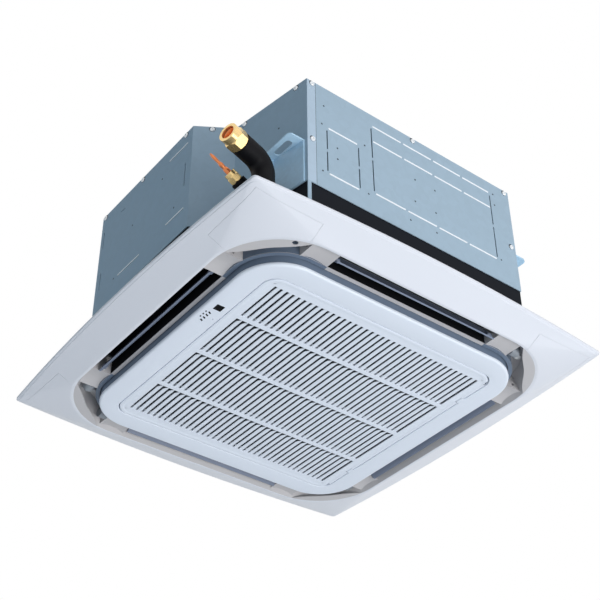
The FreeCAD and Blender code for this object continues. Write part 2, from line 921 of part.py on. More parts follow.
def right_wall_slits():
    """Broken slit lines of the right-hand wall's two knock-outs."""
    out = vec(1, 0, 0)

    def at(y, rise):
        return vec(body_half, y, rim_z + rise)

    small = (-165.0, -108.0, 118.0, 205.0)
    large = (-82.0, 157.0, 127.0, 260.0)
    second_rise = 229.0
    lines = []
    for (left, right, low, high), rows, pieces in ((small, (118.0, 205.0), 1), (large, (127.0, second_rise, 260.0), 4)):
        for rise in rows:
            lines += slit_line(at(left, rise), at(right, rise), out, pieces)
        for y in (left, right):
            lines += slit_line(at(y, low + knockout_slit), at(y, high - knockout_slit), out, 2)
    return lines


def front_wall_slits():
    """Short slits of the front wall's knock-outs."""
    out = vec(0, -1, 0)

    def at(x, rise):
        return vec(x, -body_half, rim_z + rise)

    ends = (
        ((38, 258), (88, 258)),
        ((84, 220), (84, 175)),
        ((40, 130), (87, 130)),
        ((-92, 122), (-31, 122)),
        ((-102, 257), (-90, 257)),
        ((-151, 249), (-151, 214)),
        ((-148, 163), (-148, 129)),
    )
    return [slit(at(*first), at(*last), out) for first, last in ends]


def spigot_place():
    """Point where the drain outlet passes the left wall, on its outer face."""
    return vec(-body_half, sump_offset, rim_z + spigot_rise)


def grommet_place():
    """Point where the cable entry passes the left wall, on its outer face."""
    return vec(-body_half, grommet_y, rim_z + grommet_rise)


def wall_ports(depth):
    """Holes in the left wall for the drain outlet and the cable entry."""
    inward = vec(1, 0, 0)
    spigot = rod(spigot_radius + screw_clearance, spigot_place() - inward * sheet, inward, depth + sheet)
    grommet = rod(grommet_radius + screw_clearance, grommet_place() - inward * sheet, inward, depth + sheet)
    return [spigot, grommet]


def build_casing():
    """Sheet metal walls, top plate, lining and screws."""
    holes = casing_screw_cutters()
    strip = box(
        body_half - sheet,
        body_half,
        -wall_end,
        -wall_end + corner_strip_width,
        band_top - corner_strip_drop,
        band_top,
    )
    pipe_corner = fused([wall_piece(0, 2), strip])
    export("pipe_corner_wall", pipe_corner.cut(Part.Compound(holes)))
    export("right_wall", wall_piece(2, 3).cut(Part.Compound(holes + right_wall_slits())))
    export("rear_wall", wall_piece(5, 6).cut(Part.Compound(holes)))
    export("left_wall", wall_piece(8, 9).cut(Part.Compound(holes + wall_ports(2 * sheet))))
    export("front_wall", wall_piece(11, 13).cut(Part.Compound(holes + front_wall_slits())))
    export("corner_walls", wall_piece(3, 5), wall_piece(6, 8), wall_piece(9, 11))
    export("top_plate", outline_slab(sheet + seam, ceiling_sheet_low, casing_top))
    lining = outline_slab(sheet + seam, band_top, ceiling_sheet_low - seam)
    lining = lining.cut(outline_slab(sheet + seam + insulation_thickness, band_top - skin, lining_low))
    motor_hole = rod(fan_motor_radius + 2 * motor_plate_margin, vec(0, 0, lining_low - skin), UP, insulation_thickness + 2 * skin)
    lining = lining.cut(Part.Compound(holes + wall_ports(3 * insulation_thickness) + [motor_hole]))
    export("casing_lining", lining)
    screws = []
    for place, out in casing_screw_places():
        head = rod(screw_head_radius, place, out, screw_head_height)
        shank = rod(screw_radius, place + out * screw_head_height, out * -1, screw_length + screw_head_height)
        screws.append(fused([head, shank]))
    export("casing_screws", *screws)


def hanger_bracket():
    """Folded hanger plate for the right rear corner, with its slot."""
    half_length = slot_length / 2 + hanger_end_margin
    left = slot_x - half_length
    right = slot_x + half_length
    outer = slot_y + slot_width / 2 + hanger_edge_margin
    low = -hanger_sheet / 2
    high = hanger_sheet / 2
    back = [(right, recess_y(right)), (left, recess_y(left))]
    plate = prism(polygon(back[::-1] + [(right, outer), (left, outer)]), low, high)
    corners = [e for e in plate.Edges if abs(e.Vertexes[0].Y - outer) < seam and abs(e.Vertexes[-1].Y - outer) < seam]
    upright = [e for e in corners if e.Length < 2 * hanger_sheet]
    plate = plate.makeFillet(hanger_corner_radius, upright)
    fold = [(x, y + hanger_sheet) for x, y in back]
    leaf = prism(polygon(back[::-1] + fold), band_top + seam, high)
    gusset_points = [
        vec(left, recess_y(left), low),
        vec(left, recess_y(left), low - hanger_gusset_depth),
        vec(left, outer - hanger_corner_radius, low),
    ]
    gusset = Part.Face(Part.makePolygon(gusset_points + gusset_points[:1])).extrude(vec(hanger_sheet, 0, 0))
    bracket = fused([plate, leaf, gusset])
    run = slot_length / 2 - slot_width / 2
    ends = [rod(slot_width / 2, vec(slot_x + s * run, slot_y, low - skin), UP, hanger_sheet + 2 * skin) for s in (1, -1)]
    middle = box(slot_x - run, slot_x + run, slot_y - slot_width / 2, slot_y + slot_width / 2, low - skin, high + skin)
    return bracket.cut(fused(ends + [middle]))


def build_hangers():
    """The four hanger brackets, mirrored into the recesses."""
    rear_right = hanger_bracket()
    rear_left = rear_right.mirror(ORIGIN, vec(1, 0, 0))
    front = [b.mirror(ORIGIN, vec(0, 1, 0)) for b in (rear_right, rear_left)]
    export("hanger_brackets", rear_right, rear_left, *front)


# Drain pan and heat exchanger

def trough_slab(margin, z0, z1):
    """Rectangular slab round the coil, larger by a margin."""
    half_x = coil_half_x + margin
    half_y = coil_half_y + margin
    return rounded_block(half_x, half_y, coil_corner_radius + margin, z0, z1)


def rounded_block(half_x, half_y, radius, z0, z1):
    """Upright block with a rectangular plan and round corners."""
    block = box(-half_x, half_x, -half_y, half_y, z0, z1)
    upright = [e for e in block.Edges if abs(e.Vertexes[0].Z - e.Vertexes[-1].Z) > seam]
    return block.makeFillet(radius, upright)


def gas_axis():
    """Corner points of the gas pipe, from its inner end to the nut's mouth."""
    wall = recess_y(gas_x)
    run_y = -(wall + gas_stand_off)
    low = rim_z + gas_exit_rise
    high = low + gas_run_up
    slope = math.radians(gas_slope)
    turn = math.radians(gas_turn)
    level = gas_reach * math.cos(slope)
    rise = gas_reach * math.sin(slope)
    end = vec(gas_x + level * math.sin(turn), run_y - level * math.cos(turn), high + rise)
    riser_y = -wall + gas_inside_run
    return [
        vec(gas_x, riser_y, rim_z + gas_riser_top),
        vec(gas_x, riser_y, low),
        vec(gas_x, run_y, low),
        vec(gas_x, run_y, high),
        end,
    ]


def liquid_axis():
    """Corner points of the liquid pipe, from its inner end to the nut's mouth."""
    wall = recess_y(liquid_x)
    run_y = -(wall + liquid_stand_off)
    low = rim_z + liquid_exit_rise
    high = low + liquid_run_up
    slope = math.radians(liquid_slope)
    end = vec(liquid_x, run_y - liquid_reach * math.cos(slope), high + liquid_reach * math.sin(slope))
    riser_y = -wall + liquid_inside_run
    return [
        vec(liquid_x, riser_y, rim_z + liquid_riser_top),
        vec(liquid_x, riser_y, low),
        vec(liquid_x, run_y, low),
        vec(liquid_x, run_y, high),
        end,
    ]


def sump(side):
    """Deep pocket of the trough for the pump or the float."""
    half = sump_size / 2
    x = -sump_x()
    y = side * sump_offset
    return box(x - half, x + half + 2 * trough_margin, y - half, y + half, trough_floor, band_top + skin)


def sump_x():
    """Distance of the pump's and the float's axis from the centre line."""
    return sump_reach


def pan_plan():
    """Chamfered square of the pan's lower tier."""
    half = body_half - sheet - seam
    cut = half - pan_chamfer
    return [
        (half, -cut), (half, cut), (cut, half), (-cut, half),
        (-half, cut), (-half, -cut), (-cut, -half), (cut, -half),
    ]


def pipe_pocket(route, radius, stand_off):
    """Way for a sleeved pipe through the pan's side, open upwards inside the trough."""
    low = route[1]
    size = radius + seam
    inner_wall = route[2].y + stand_off + trough_margin
    hole = rod(size, route[2], vec(0, 1, 0), low.y - route[2].y)
    pocket = box(low.x - size, low.x + size, inner_wall, low.y + size, low.z - size, band_top + skin)
    return hole.fuse(pocket)


def build_drain_pan():
    """Foam drain pan: outlets, coil trough, sumps and the fan's intake hole."""
    lower = prism(polygon(pan_plan()), seal_top, pan_step)
    upper = outline_slab(sheet + seam, pan_step, band_top)
    recess = rounded_slab(pan_recess_width / 2, pan_recess_radius, seal_top - skin, recess_roof)
    intake = rod(bell_mouth_radius + seam, vec(0, 0, recess_roof - skin), UP, band_top - recess_roof + 2 * skin)
    trough = trough_slab(trough_margin, trough_floor, band_top + skin)
    trough = trough.cut(trough_slab(-coil_depth - trough_margin, trough_floor - skin, band_top + 2 * skin))
    lower_duct = outlet_slot(seal_top - skin, pan_step, outlet_width())
    upper_duct = outlet_slot(pan_step, band_top + skin, duct_width)
    ducts = [turned(duct, 90 * side) for duct in (lower_duct, upper_duct) for side in range(3)]
    # Below the pipe recess the front outlet is roofed over, so that it opens into the casing only.
    front_end = pipe_wall_end - corner_lap
    far = -rail_outer - outlet_width()
    ducts.append(box(-outlet_half, front_end, far, -rail_outer, seal_top - skin, pan_step))
    ducts.append(box(front_end - skin, outlet_half, far, -rail_outer, seal_top - skin, pan_step - duct_roof))
    front_duct = box(
        -outlet_half, front_end, -rail_outer - duct_width, -rail_outer, pan_step, band_top + skin
    )
    ducts.append(front_duct)
    sleeves = [
        pipe_pocket(gas_axis(), gas_sleeve_radius, gas_stand_off),
        pipe_pocket(liquid_axis(), liquid_sleeve_radius, liquid_stand_off),
    ]
    cutters = [recess, intake, trough, sump(1), sump(-1)] + ducts + sleeves
    cutters += screw_holes(seal_top - skin, seal_top + panel_screw_length)
    pan = lower.fuse(upper).cut(Part.Compound(cutters[:5])).cut(Part.Compound(cutters[5:]))
    export("drain_pan", pan.removeSplitter())


def coil_gap_zone(margin):
    """Corner left open in the coil for pipes and end plates."""
    return box(coil_gap_x - margin, body_half, -body_half, -coil_gap_y + margin, trough_floor, casing_top)


def build_coil():
    """Fin block round the fan, its end plates, return bends and feeders."""
    low = trough_floor + seam
    top = lining_low - coil_top_gap
    block = trough_slab(0, low, top).cut(trough_slab(-coil_depth, low - skin, top + skin))
    export("coil_fins", block.cut(coil_gap_zone(0)))
    plate_x = box(
        coil_half_x - coil_depth - end_plate_margin, coil_half_x + end_plate_margin,
        -coil_gap_y - end_plate_thickness - seam, -coil_gap_y - seam,
        low, top,
    )
    plate_y = box(
        coil_gap_x + seam, coil_gap_x + seam + end_plate_thickness,
        -coil_half_y - end_plate_margin, -coil_half_y + coil_depth + end_plate_margin,
        low, top,
    )
    export("coil_end_plates", plate_x, plate_y)
    bends = []
    pitch = (top - low) / hairpin_rows
    inset_x = coil_half_x - coil_depth / 2
    inset_y = -coil_half_y + coil_depth / 2
    for k in range(hairpin_rows):
        z = low + pitch * (k + 0.5)
        ring = Part.makeTorus(pitch / 4, hairpin_radius, vec(0, 0, 0), vec(1, 0, 0))
        half_space = box(-pitch, pitch, -pitch, 0, -pitch, pitch)
        loop = ring.common(half_space)
        first = loop.copy()
        first.translate(vec(inset_x, -coil_gap_y - end_plate_thickness - 2 * seam, z))
        second = turned(loop, 90)
        second.translate(vec(coil_gap_x + end_plate_thickness + 2 * seam, inset_y, z))
        bends += [first, second]
    export("coil_return_bends", *bends)
    export("coil_feeders", *feeders(low, pitch))


def feeder(start, end, start_radius):
    """Thin tube from a riser's surface to an end plate."""
    direction = (end - start).normalize()
    first = start + direction * (start_radius + seam)
    return rod(feeder_radius, first, direction, (end - first).Length - seam - feeder_radius)


def feeders(low, pitch):
    """Tubes between the two risers and the coil's end plates."""
    gas = gas_axis()
    liquid = liquid_axis()
    tubes = []
    for k in range(feeder_count):
        z = low + pitch * (k + 2)
        gas_end = vec(coil_half_x - coil_depth / 4, -coil_gap_y - end_plate_thickness - seam, z)
        tubes.append(feeder(vec(gas[0].x, gas[0].y, z), gas_end, gas_pipe_radius))
        liquid_end = vec(coil_gap_x + end_plate_thickness + seam, -coil_half_y + coil_depth / 4, z)
        if z < rim_z + liquid_riser_top - liquid_bend:
            tubes.append(feeder(vec(liquid[0].x, liquid[0].y, z), liquid_end, liquid_pipe_radius))
    return tubes


def flare_nut(flats, length, thread_radius, thread_depth, pipe_radius, mouth, direction):
    """Hexagonal union nut with a collar, an open thread and a hole for its pipe."""
    start = mouth - direction * length
    nut = hexagon(flats, start, direction, length * 0.62)
    collar = rod(flats / 2, start + direction * (length * 0.5), direction, length * 0.5)
    nut = fused([nut, collar])
    thread = rod(thread_radius, mouth - direction * thread_depth, direction, thread_depth + skin)
    hole = rod(pipe_radius + pipe_fit, start - direction * skin, direction, length + 2 * skin)
    return nut.cut(thread).cut(hole)


def shortened(points, length):
    """The same route with its last run cut back."""
    direction = (points[-1] - points[-2]).normalize()
    return points[:-1] + [points[-1] - direction * length]


def build_pipes():
    """Gas and liquid pipes with their foam sleeves, nuts and sealed stub."""
    gas = gas_axis()
    liquid = liquid_axis()
    gas_out = (gas[-1] - gas[-2]).normalize()
    liquid_out = (liquid[-1] - liquid[-2]).normalize()
    gas_copper = bent_rod(gas, gas_bend, gas_pipe_radius)
    export("gas_pipe", gas_copper.cut(bent_rod(gas, gas_bend, gas_pipe_radius - pipe_wall)))
    liquid_route = shortened(liquid, liquid_nut_length / 2)
    liquid_copper = bent_rod(liquid_route, liquid_bend, liquid_pipe_radius)
    export("liquid_pipe", liquid_copper.cut(bent_rod(liquid_route, liquid_bend, liquid_pipe_radius - pipe_wall)))
    gas_grip = gas_nut_length - gas_nut_thread_depth
    gas_sleeve_route = shortened(gas[1:], gas_grip + seam)
    gas_sleeve_route[0] = vec(gas_x, gas[2].y + gas_stand_off + trough_margin, gas[2].z)
    sleeve = bent_rod(gas_sleeve_route, gas_bend, gas_sleeve_radius)
    export("gas_pipe_sleeve", sleeve.cut(bent_rod(gas[1:], gas_bend, gas_pipe_radius + pipe_fit)))
    liquid_sleeve_route = shortened(liquid[1:], liquid_nut_length + seam)
    liquid_sleeve_route[0] = vec(liquid_x, liquid[2].y + liquid_stand_off + trough_margin, liquid[2].z)
    sleeve = bent_rod(liquid_sleeve_route, liquid_bend, liquid_sleeve_radius)
    export("liquid_pipe_sleeve", sleeve.cut(bent_rod(liquid[1:], liquid_bend, liquid_pipe_radius + pipe_fit)))
    gas_mouth = gas[-1] + gas_out * gas_nut_thread_depth
    export(
        "gas_flare_nut",
        flare_nut(gas_nut_flats, gas_nut_length, gas_nut_thread_radius, gas_nut_thread_depth, gas_pipe_radius,
                  gas_mouth, gas_out),
    )
    stub_root = liquid_nut_flats / 4
    liquid_mouth = liquid[-1]
    export(
        "liquid_flare_nut",
        flare_nut(liquid_nut_flats, liquid_nut_length, stub_root + pipe_fit,
                  liquid_nut_length / 2, liquid_pipe_radius, liquid_mouth, liquid_out),
    )
    collar_length = liquid_nut_length / 2 - seam
    pieces = [rod(stub_root, liquid_mouth - liquid_out * collar_length, liquid_out, collar_length)]
    start = liquid_mouth
    before = stub_root
    for share, after in stub_steps(stub_root):
        length = liquid_stub_length * share
        pieces.append(Part.makeCone(before, after, length, start, liquid_out))
        start = start + liquid_out * length
        before = after
    export("liquid_pipe_stub", fused(pieces))


def stub_steps(root):
    """Shares of the sealed stub's length, each with the radius at its end."""
    tip = liquid_stub_tip_radius
    waist = (root + tip) / 2
    return ((0.16, root * 0.95), (0.1, waist * 1.05), (0.16, waist * 1.25), (0.12, waist * 0.8), (0.3, waist * 0.9), (0.16, tip))


# Fan

def blade():
    """One backward-curved blade in plan, standing between shroud and back plate."""
    tip_radius = impeller_radius - blade_thickness

    def polar(radius, angle):
        return vec(radius * math.cos(math.radians(angle)), radius * math.sin(math.radians(angle)))

    half = math.degrees(blade_thickness / 2 / tip_radius)
    middle_radius = (blade_inner_radius + tip_radius) / 2
    edges = []
    sides = []
    for offset in (-half, half):
        points = [
            polar(blade_inner_radius, offset * tip_radius / blade_inner_radius),
            polar(middle_radius, offset * tip_radius / middle_radius - blade_sweep * 0.38),
            polar(tip_radius, offset - blade_sweep),
        ]
        sides.append(points)
        edges.append(Part.Arc(*points).toShape())
    edges.append(Part.LineSegment(sides[0][2], sides[1][2]).toShape())
    edges.append(Part.LineSegment(sides[1][0], sides[0][0]).toShape())
    wire = Part.Wire(Part.__sortEdges__(edges))
    return prism(wire, rim_z + impeller_low_rise, rim_z + impeller_top_rise)


def build_fan():
    """Impeller, shaft and nut, the motor above them and the intake bell below."""
    low = rim_z + impeller_low_rise
    top = rim_z + impeller_top_rise
    dome_radius = blade_inner_radius - 4 * blade_thickness
    back = rod(impeller_radius, vec(0, 0, top - impeller_plate), UP, impeller_plate)
    back = back.cut(rod(dome_radius - impeller_plate, vec(0, 0, top - skin - impeller_plate), UP, 2 * skin + impeller_plate))
    hub_low = top - hub_length
    hub = rod(hub_radius, vec(0, 0, hub_low), UP, hub_boss_length)
    dome = Part.makeCone(hub_radius, dome_radius, hub_length, vec(0, 0, hub_low))
    dome_hollow = Part.makeCone(
        hub_radius - impeller_plate, dome_radius - impeller_plate, hub_length, vec(0, 0, hub_low + impeller_plate)
    )
    shroud = rod(impeller_radius, vec(0, 0, low), UP, impeller_plate)
    shroud = shroud.cut(rod(inlet_ring_radius, vec(0, 0, low - skin), UP, impeller_plate + 2 * skin))
    inlet = rod(inlet_ring_radius + impeller_plate, vec(0, 0, low - inlet_ring_height), UP, inlet_ring_height + impeller_plate)
    inlet = inlet.cut(rod(inlet_ring_radius, vec(0, 0, low - inlet_ring_height - skin), UP, 2 * inlet_ring_height))
    one = blade()
    blades = [turned(one, 360.0 / blade_count * k) for k in range(blade_count)]
    impeller = fused([back, dome.cut(dome_hollow), hub, shroud, inlet] + blades)
    shaft_top = top + motor_hub_gap + shaft_grip
    shaft_low = top - hub_length - shaft_tail
    bore = rod(shaft_radius + running_clearance, vec(0, 0, shaft_low), UP, shaft_top - shaft_low)
    export("fan_impeller", impeller.cut(bore))
    export("fan_shaft", rod(shaft_radius, vec(0, 0, shaft_low), UP, shaft_top - shaft_low))
    nut_top = top - hub_length - seam
    nut = hexagon(shaft_nut_flats, vec(0, 0, nut_top - shaft_nut_height), UP, shaft_nut_height)
    export("fan_nut", nut.cut(bore))
    motor_low = top + motor_hub_gap
    motor = rod(fan_motor_radius, vec(0, 0, motor_low), UP, fan_motor_height)
    edges = [e for e in motor.Edges if e.Closed]
    motor = motor.makeFillet(motor_hub_gap, edges)
    socket_bore = rod(shaft_radius + running_clearance, vec(0, 0, motor_low - skin), UP, shaft_grip + skin + seam)
    export("fan_motor", motor.cut(socket_bore))
    plate_low = motor_low + fan_motor_height
    plate = rod(fan_motor_radius + motor_plate_margin, vec(0, 0, plate_low), UP, motor_plate)
    export("motor_plate", plate)
    place = fan_motor_radius + motor_plate_margin - rubber_radius
    mount = rod(rubber_radius, vec(place, 0, plate_low + motor_plate), UP, ceiling_sheet_low - plate_low - motor_plate)
    export("motor_rubber_mounts", *[turned(mount, 360.0 / rubber_count * k) for k in range(rubber_count)])


def build_bellmouth():
    """Square plate with a rounded bell that leads air into the impeller."""
    top = recess_roof
    low = top - bell_plate
    throat = bell_throat_radius
    outer = throat + bell_wall
    curve_top = top + bell_curve_height
    bend = math.sqrt(0.5)
    sweep = bell_mouth_radius - outer - bell_wall

    def at(radius, z):
        return vec(radius, 0, z)

    outer_arc = Part.Arc(
        at(outer + sweep, low),
        at(outer + sweep * (1 - bend), low + (curve_top - low) * (1 - bend)),
        at(outer, curve_top),
    ).toShape()
    inner_arc = Part.Arc(
        at(throat, curve_top),
        at(throat + sweep * (1 - bend), low + (curve_top - low) * (1 - bend)),
        at(throat + sweep, low),
    ).toShape()
    end = curve_top + bell_throat_height
    rise = Part.LineSegment(at(outer, curve_top), at(outer, end)).toShape()
    edge = Part.LineSegment(at(outer, end), at(throat, end)).toShape()
    fall = Part.LineSegment(at(throat, end), at(throat, curve_top)).toShape()
    foot = Part.LineSegment(at(throat + sweep, low), at(outer + sweep, low)).toShape()
    profile = Part.Face(Part.Wire([outer_arc, rise, edge, fall, inner_arc, foot]))
    bell = profile.revolve(ORIGIN, UP, 360)
    plate = rounded_slab(bell_plate_width / 2, bell_plate_radius, low, top)
    plate = plate.cut(rod(outer + sweep - bell_wall / 2, vec(0, 0, low - skin), UP, bell_plate + 2 * skin))
    export("bellmouth", fused([plate, bell]))


# Control box, condensate parts, cable entry

def build_control_box():
    """Metal box under the bell plate, its lid, circuit board and terminal block."""
    top = recess_roof - bell_plate
    low = top - box_height
    x0 = -box_offset - box_width / 2
    x1 = x0 + box_width
    half = box_length / 2
    hollow = box(x0 + box_wall, x1 - box_wall, -half + box_wall, half - box_wall, low - skin, top - box_wall)
    export("control_box", box(x0, x1, -half, half, low, top).cut(hollow))
    export("control_box_lid", box(x0, x1, -half, half, low - box_wall, low))
    board_low = top - box_wall - circuit_height
    x_board = (x0 + circuit_margin, x1 - circuit_margin)
    board = box(*x_board, -half + circuit_margin, half - circuit_margin, board_low, board_low + circuit_thickness)
    post = circuit_margin / 2
    posts = []
    for x in (x_board[0] + post, x_board[1] - post):
        for y in (-half + 2 * circuit_margin, half - 2 * circuit_margin):
            posts.append(rod(post, vec(x, y, board_low), UP, top - box_wall - board_low))
    export("control_board", fused([board] + posts))
    middle = (x0 + x1) / 2
    terminal = box(
        middle - terminal_width / 2, middle + terminal_width / 2,
        half - circuit_margin - terminal_length, half - circuit_margin,
        board_low - terminal_height, board_low,
    )
    export("terminal_block", terminal)


def build_condensate_parts():
    """Drain pump with its outlet, and the float switch that guards the pan."""
    x = -sump_x()
    pump_low = trough_floor + seam
    pump = rod(pump_radius, vec(x, sump_offset, pump_low), UP, pump_height)
    motor = rod(pump_motor_radius, vec(x, sump_offset, pump_low + pump_height), UP, pump_motor_height)
    export("drain_pump", fused([pump, motor]))
    hose_low = pump_low + pump_height + pump_motor_height
    port = spigot_place()
    spigot_inner = x - drain_bend - seam
    route = [vec(x, sump_offset, hose_low), vec(x, sump_offset, port.z), vec(spigot_inner, sump_offset, port.z)]
    export("drain_hose", bent_rod(route, drain_bend, drain_hose_radius))
    outward = vec(-1, 0, 0)
    start = vec(spigot_inner - seam, sump_offset, port.z)
    length = start.x - port.x + spigot_reach
    flange = rod(spigot_flange_radius, port, outward, spigot_flange)
    tube = fused([rod(spigot_radius, start, outward, length), flange])
    export("drain_spigot", tube.cut(rod(spigot_bore, start - outward * skin, outward, length + 2 * skin)))
    build_float(x)
    grommet = rod(grommet_radius, grommet_place() + vec(grommet_length - grommet_lip, 0, 0), outward, grommet_length)
    lip = rod(grommet_radius + grommet_lip, grommet_place(), outward, grommet_lip)
    hole = rod(grommet_bore, grommet_place() + vec(grommet_length, 0, 0), outward, 2 * grommet_length)
    export("cable_grommet", fused([grommet, lip]).cut(hole))


def build_float(x):
    """Float switch: a bracket with its stem, and the float that rides on it."""
    y = -sump_offset
    foot = trough_floor + seam
    bracket_low = rim_z + float_bracket_rise
    stem = rod(float_stem_radius, vec(x, y, foot), UP, bracket_low - foot)
    collar = rod(float_stem_radius * 2, vec(x, y, foot), UP, float_collar)
    half = float_bracket_width / 2
    arm = box(-lining_face, x + half, y - half, y + half, bracket_low, bracket_low + float_bracket_thickness)
    export("float_switch", fused([stem, collar, arm]))
    float_low = foot + float_collar + seam
    ring = rod(float_radius, vec(x, y, float_low), UP, float_height)
    hole = rod(float_stem_radius + float_clearance, vec(x, y, float_low - skin), UP, float_height + 2 * skin)
    export("float", ring.cut(hole))


os.makedirs("parts", exist_ok=True)
build_flange()
build_outlet_ring()
build_end_blocks()
build_louvres()
build_centre_frame()
build_grille()
build_filter()
build_panel_fixing()
build_casing()
build_hangers()
build_drain_pan()
build_coil()
build_pipes()
build_fan()
build_bellmouth()
build_control_box()
build_condensate_parts()
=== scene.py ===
import logging
import math
from dataclasses import dataclass
from enum import Enum

import bmesh
import bpy
import numpy as np
from mathutils import Matrix, Vector


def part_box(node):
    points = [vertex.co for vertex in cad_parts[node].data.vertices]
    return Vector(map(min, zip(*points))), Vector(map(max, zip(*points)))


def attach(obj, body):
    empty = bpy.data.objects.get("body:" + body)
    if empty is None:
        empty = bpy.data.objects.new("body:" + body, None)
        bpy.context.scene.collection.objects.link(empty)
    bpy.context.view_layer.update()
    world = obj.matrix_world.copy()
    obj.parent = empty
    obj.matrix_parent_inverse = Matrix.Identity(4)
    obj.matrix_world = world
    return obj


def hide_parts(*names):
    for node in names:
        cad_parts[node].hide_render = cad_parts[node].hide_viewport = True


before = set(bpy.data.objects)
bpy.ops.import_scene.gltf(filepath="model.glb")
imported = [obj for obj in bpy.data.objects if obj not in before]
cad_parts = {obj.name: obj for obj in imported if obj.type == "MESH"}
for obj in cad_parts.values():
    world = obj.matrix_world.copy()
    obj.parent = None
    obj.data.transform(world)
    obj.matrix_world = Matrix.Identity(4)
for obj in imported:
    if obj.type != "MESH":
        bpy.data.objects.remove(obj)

LOG = logging.getLogger("ceiling_cassette")
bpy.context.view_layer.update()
# Bodies that carry the scene's pieces.
UNIT = "unit"
GRILLE = "grille"
# Metres in a millimetre. Lengths below are in millimetres unless they say otherwise.
MM = 0.001
# The shared frame's origin lies this far above the flange's lower outer edge.
HANGER_HEIGHT = 163.0
# Points along each side and round each corner of a square plan, and round a turned piece.
SIDE_STEPS = 28
CORNER_STEPS = 22
TURNED_STEPS = 48
# Edges that bend by more degrees than this stay sharp, on moulded and on turned pieces.
MOULDED_SHARP = 32.0
TURNED_SHARP = 40.0
# How much finer the grain of a turned surface is along each axis.
TURNED_STRETCH = (1.0, 6.0, 1.0)
# Numbers of a Mix node's sockets for colours.
MIX_FIRST = 6
MIX_SECOND = 7
MIX_RESULT = 2
WHITE = (1.0, 1.0, 1.0, 1.0)
UPWARDS = (0.0, 0.0, 1.0)

Flat = tuple[float, float]
Point = tuple[float, float, float]
Place = tuple[Point, Point]
Box = tuple[Point, Point]
Ring = tuple[np.ndarray, float]
Section = tuple[list[Point], ...]


def linear(colour: str, share: float = 1.0) -> tuple[float, float, float, float]:
    """Turn an sRGB hex colour into linear light.

    Args:
        colour: Text such as "#DCE3EE".
        share: How much of that light there is, up to full white.

    Returns:
        Red, green, blue and alpha for a shader socket.
    """
    parts = [int(colour[k:k + 2], 16) / 255.0 for k in (1, 3, 5)]
    light = [c / 12.92 if c <= 0.04045 else ((c + 0.055) / 1.055) ** 2.4 for c in parts]
    return tuple(min(1.0, c * share) for c in light) + (1.0,)


def add(
    tree: bpy.types.NodeTree, kind: str, inputs: dict | None = None, **settings: object,
) -> bpy.types.Node:
    """Add a node with its settings and links.

    Args:
        tree: The tree that gets the node.
        kind: Blender's name for the node.
        inputs: Value, or socket to link from, for each input by name or number.
        settings: Attributes of the node.

    Returns:
        The new node.
    """
    node = tree.nodes.new(kind)
    for name, value in settings.items():
        setattr(node, name, value)
    for key, value in (inputs or {}).items():
        if isinstance(value, bpy.types.NodeSocket):
            tree.links.new(value, node.inputs[key])
        else:
            node.inputs[key].default_value = value
    return node


class Grain(Enum):
    """Kinds of surface pattern."""

    MOULDED = "moulded"
    SPANGLE = "spangle"
    BEADS = "beads"
    TURNED = "turned"
    WOVEN = "woven"
    FINS = "fins"


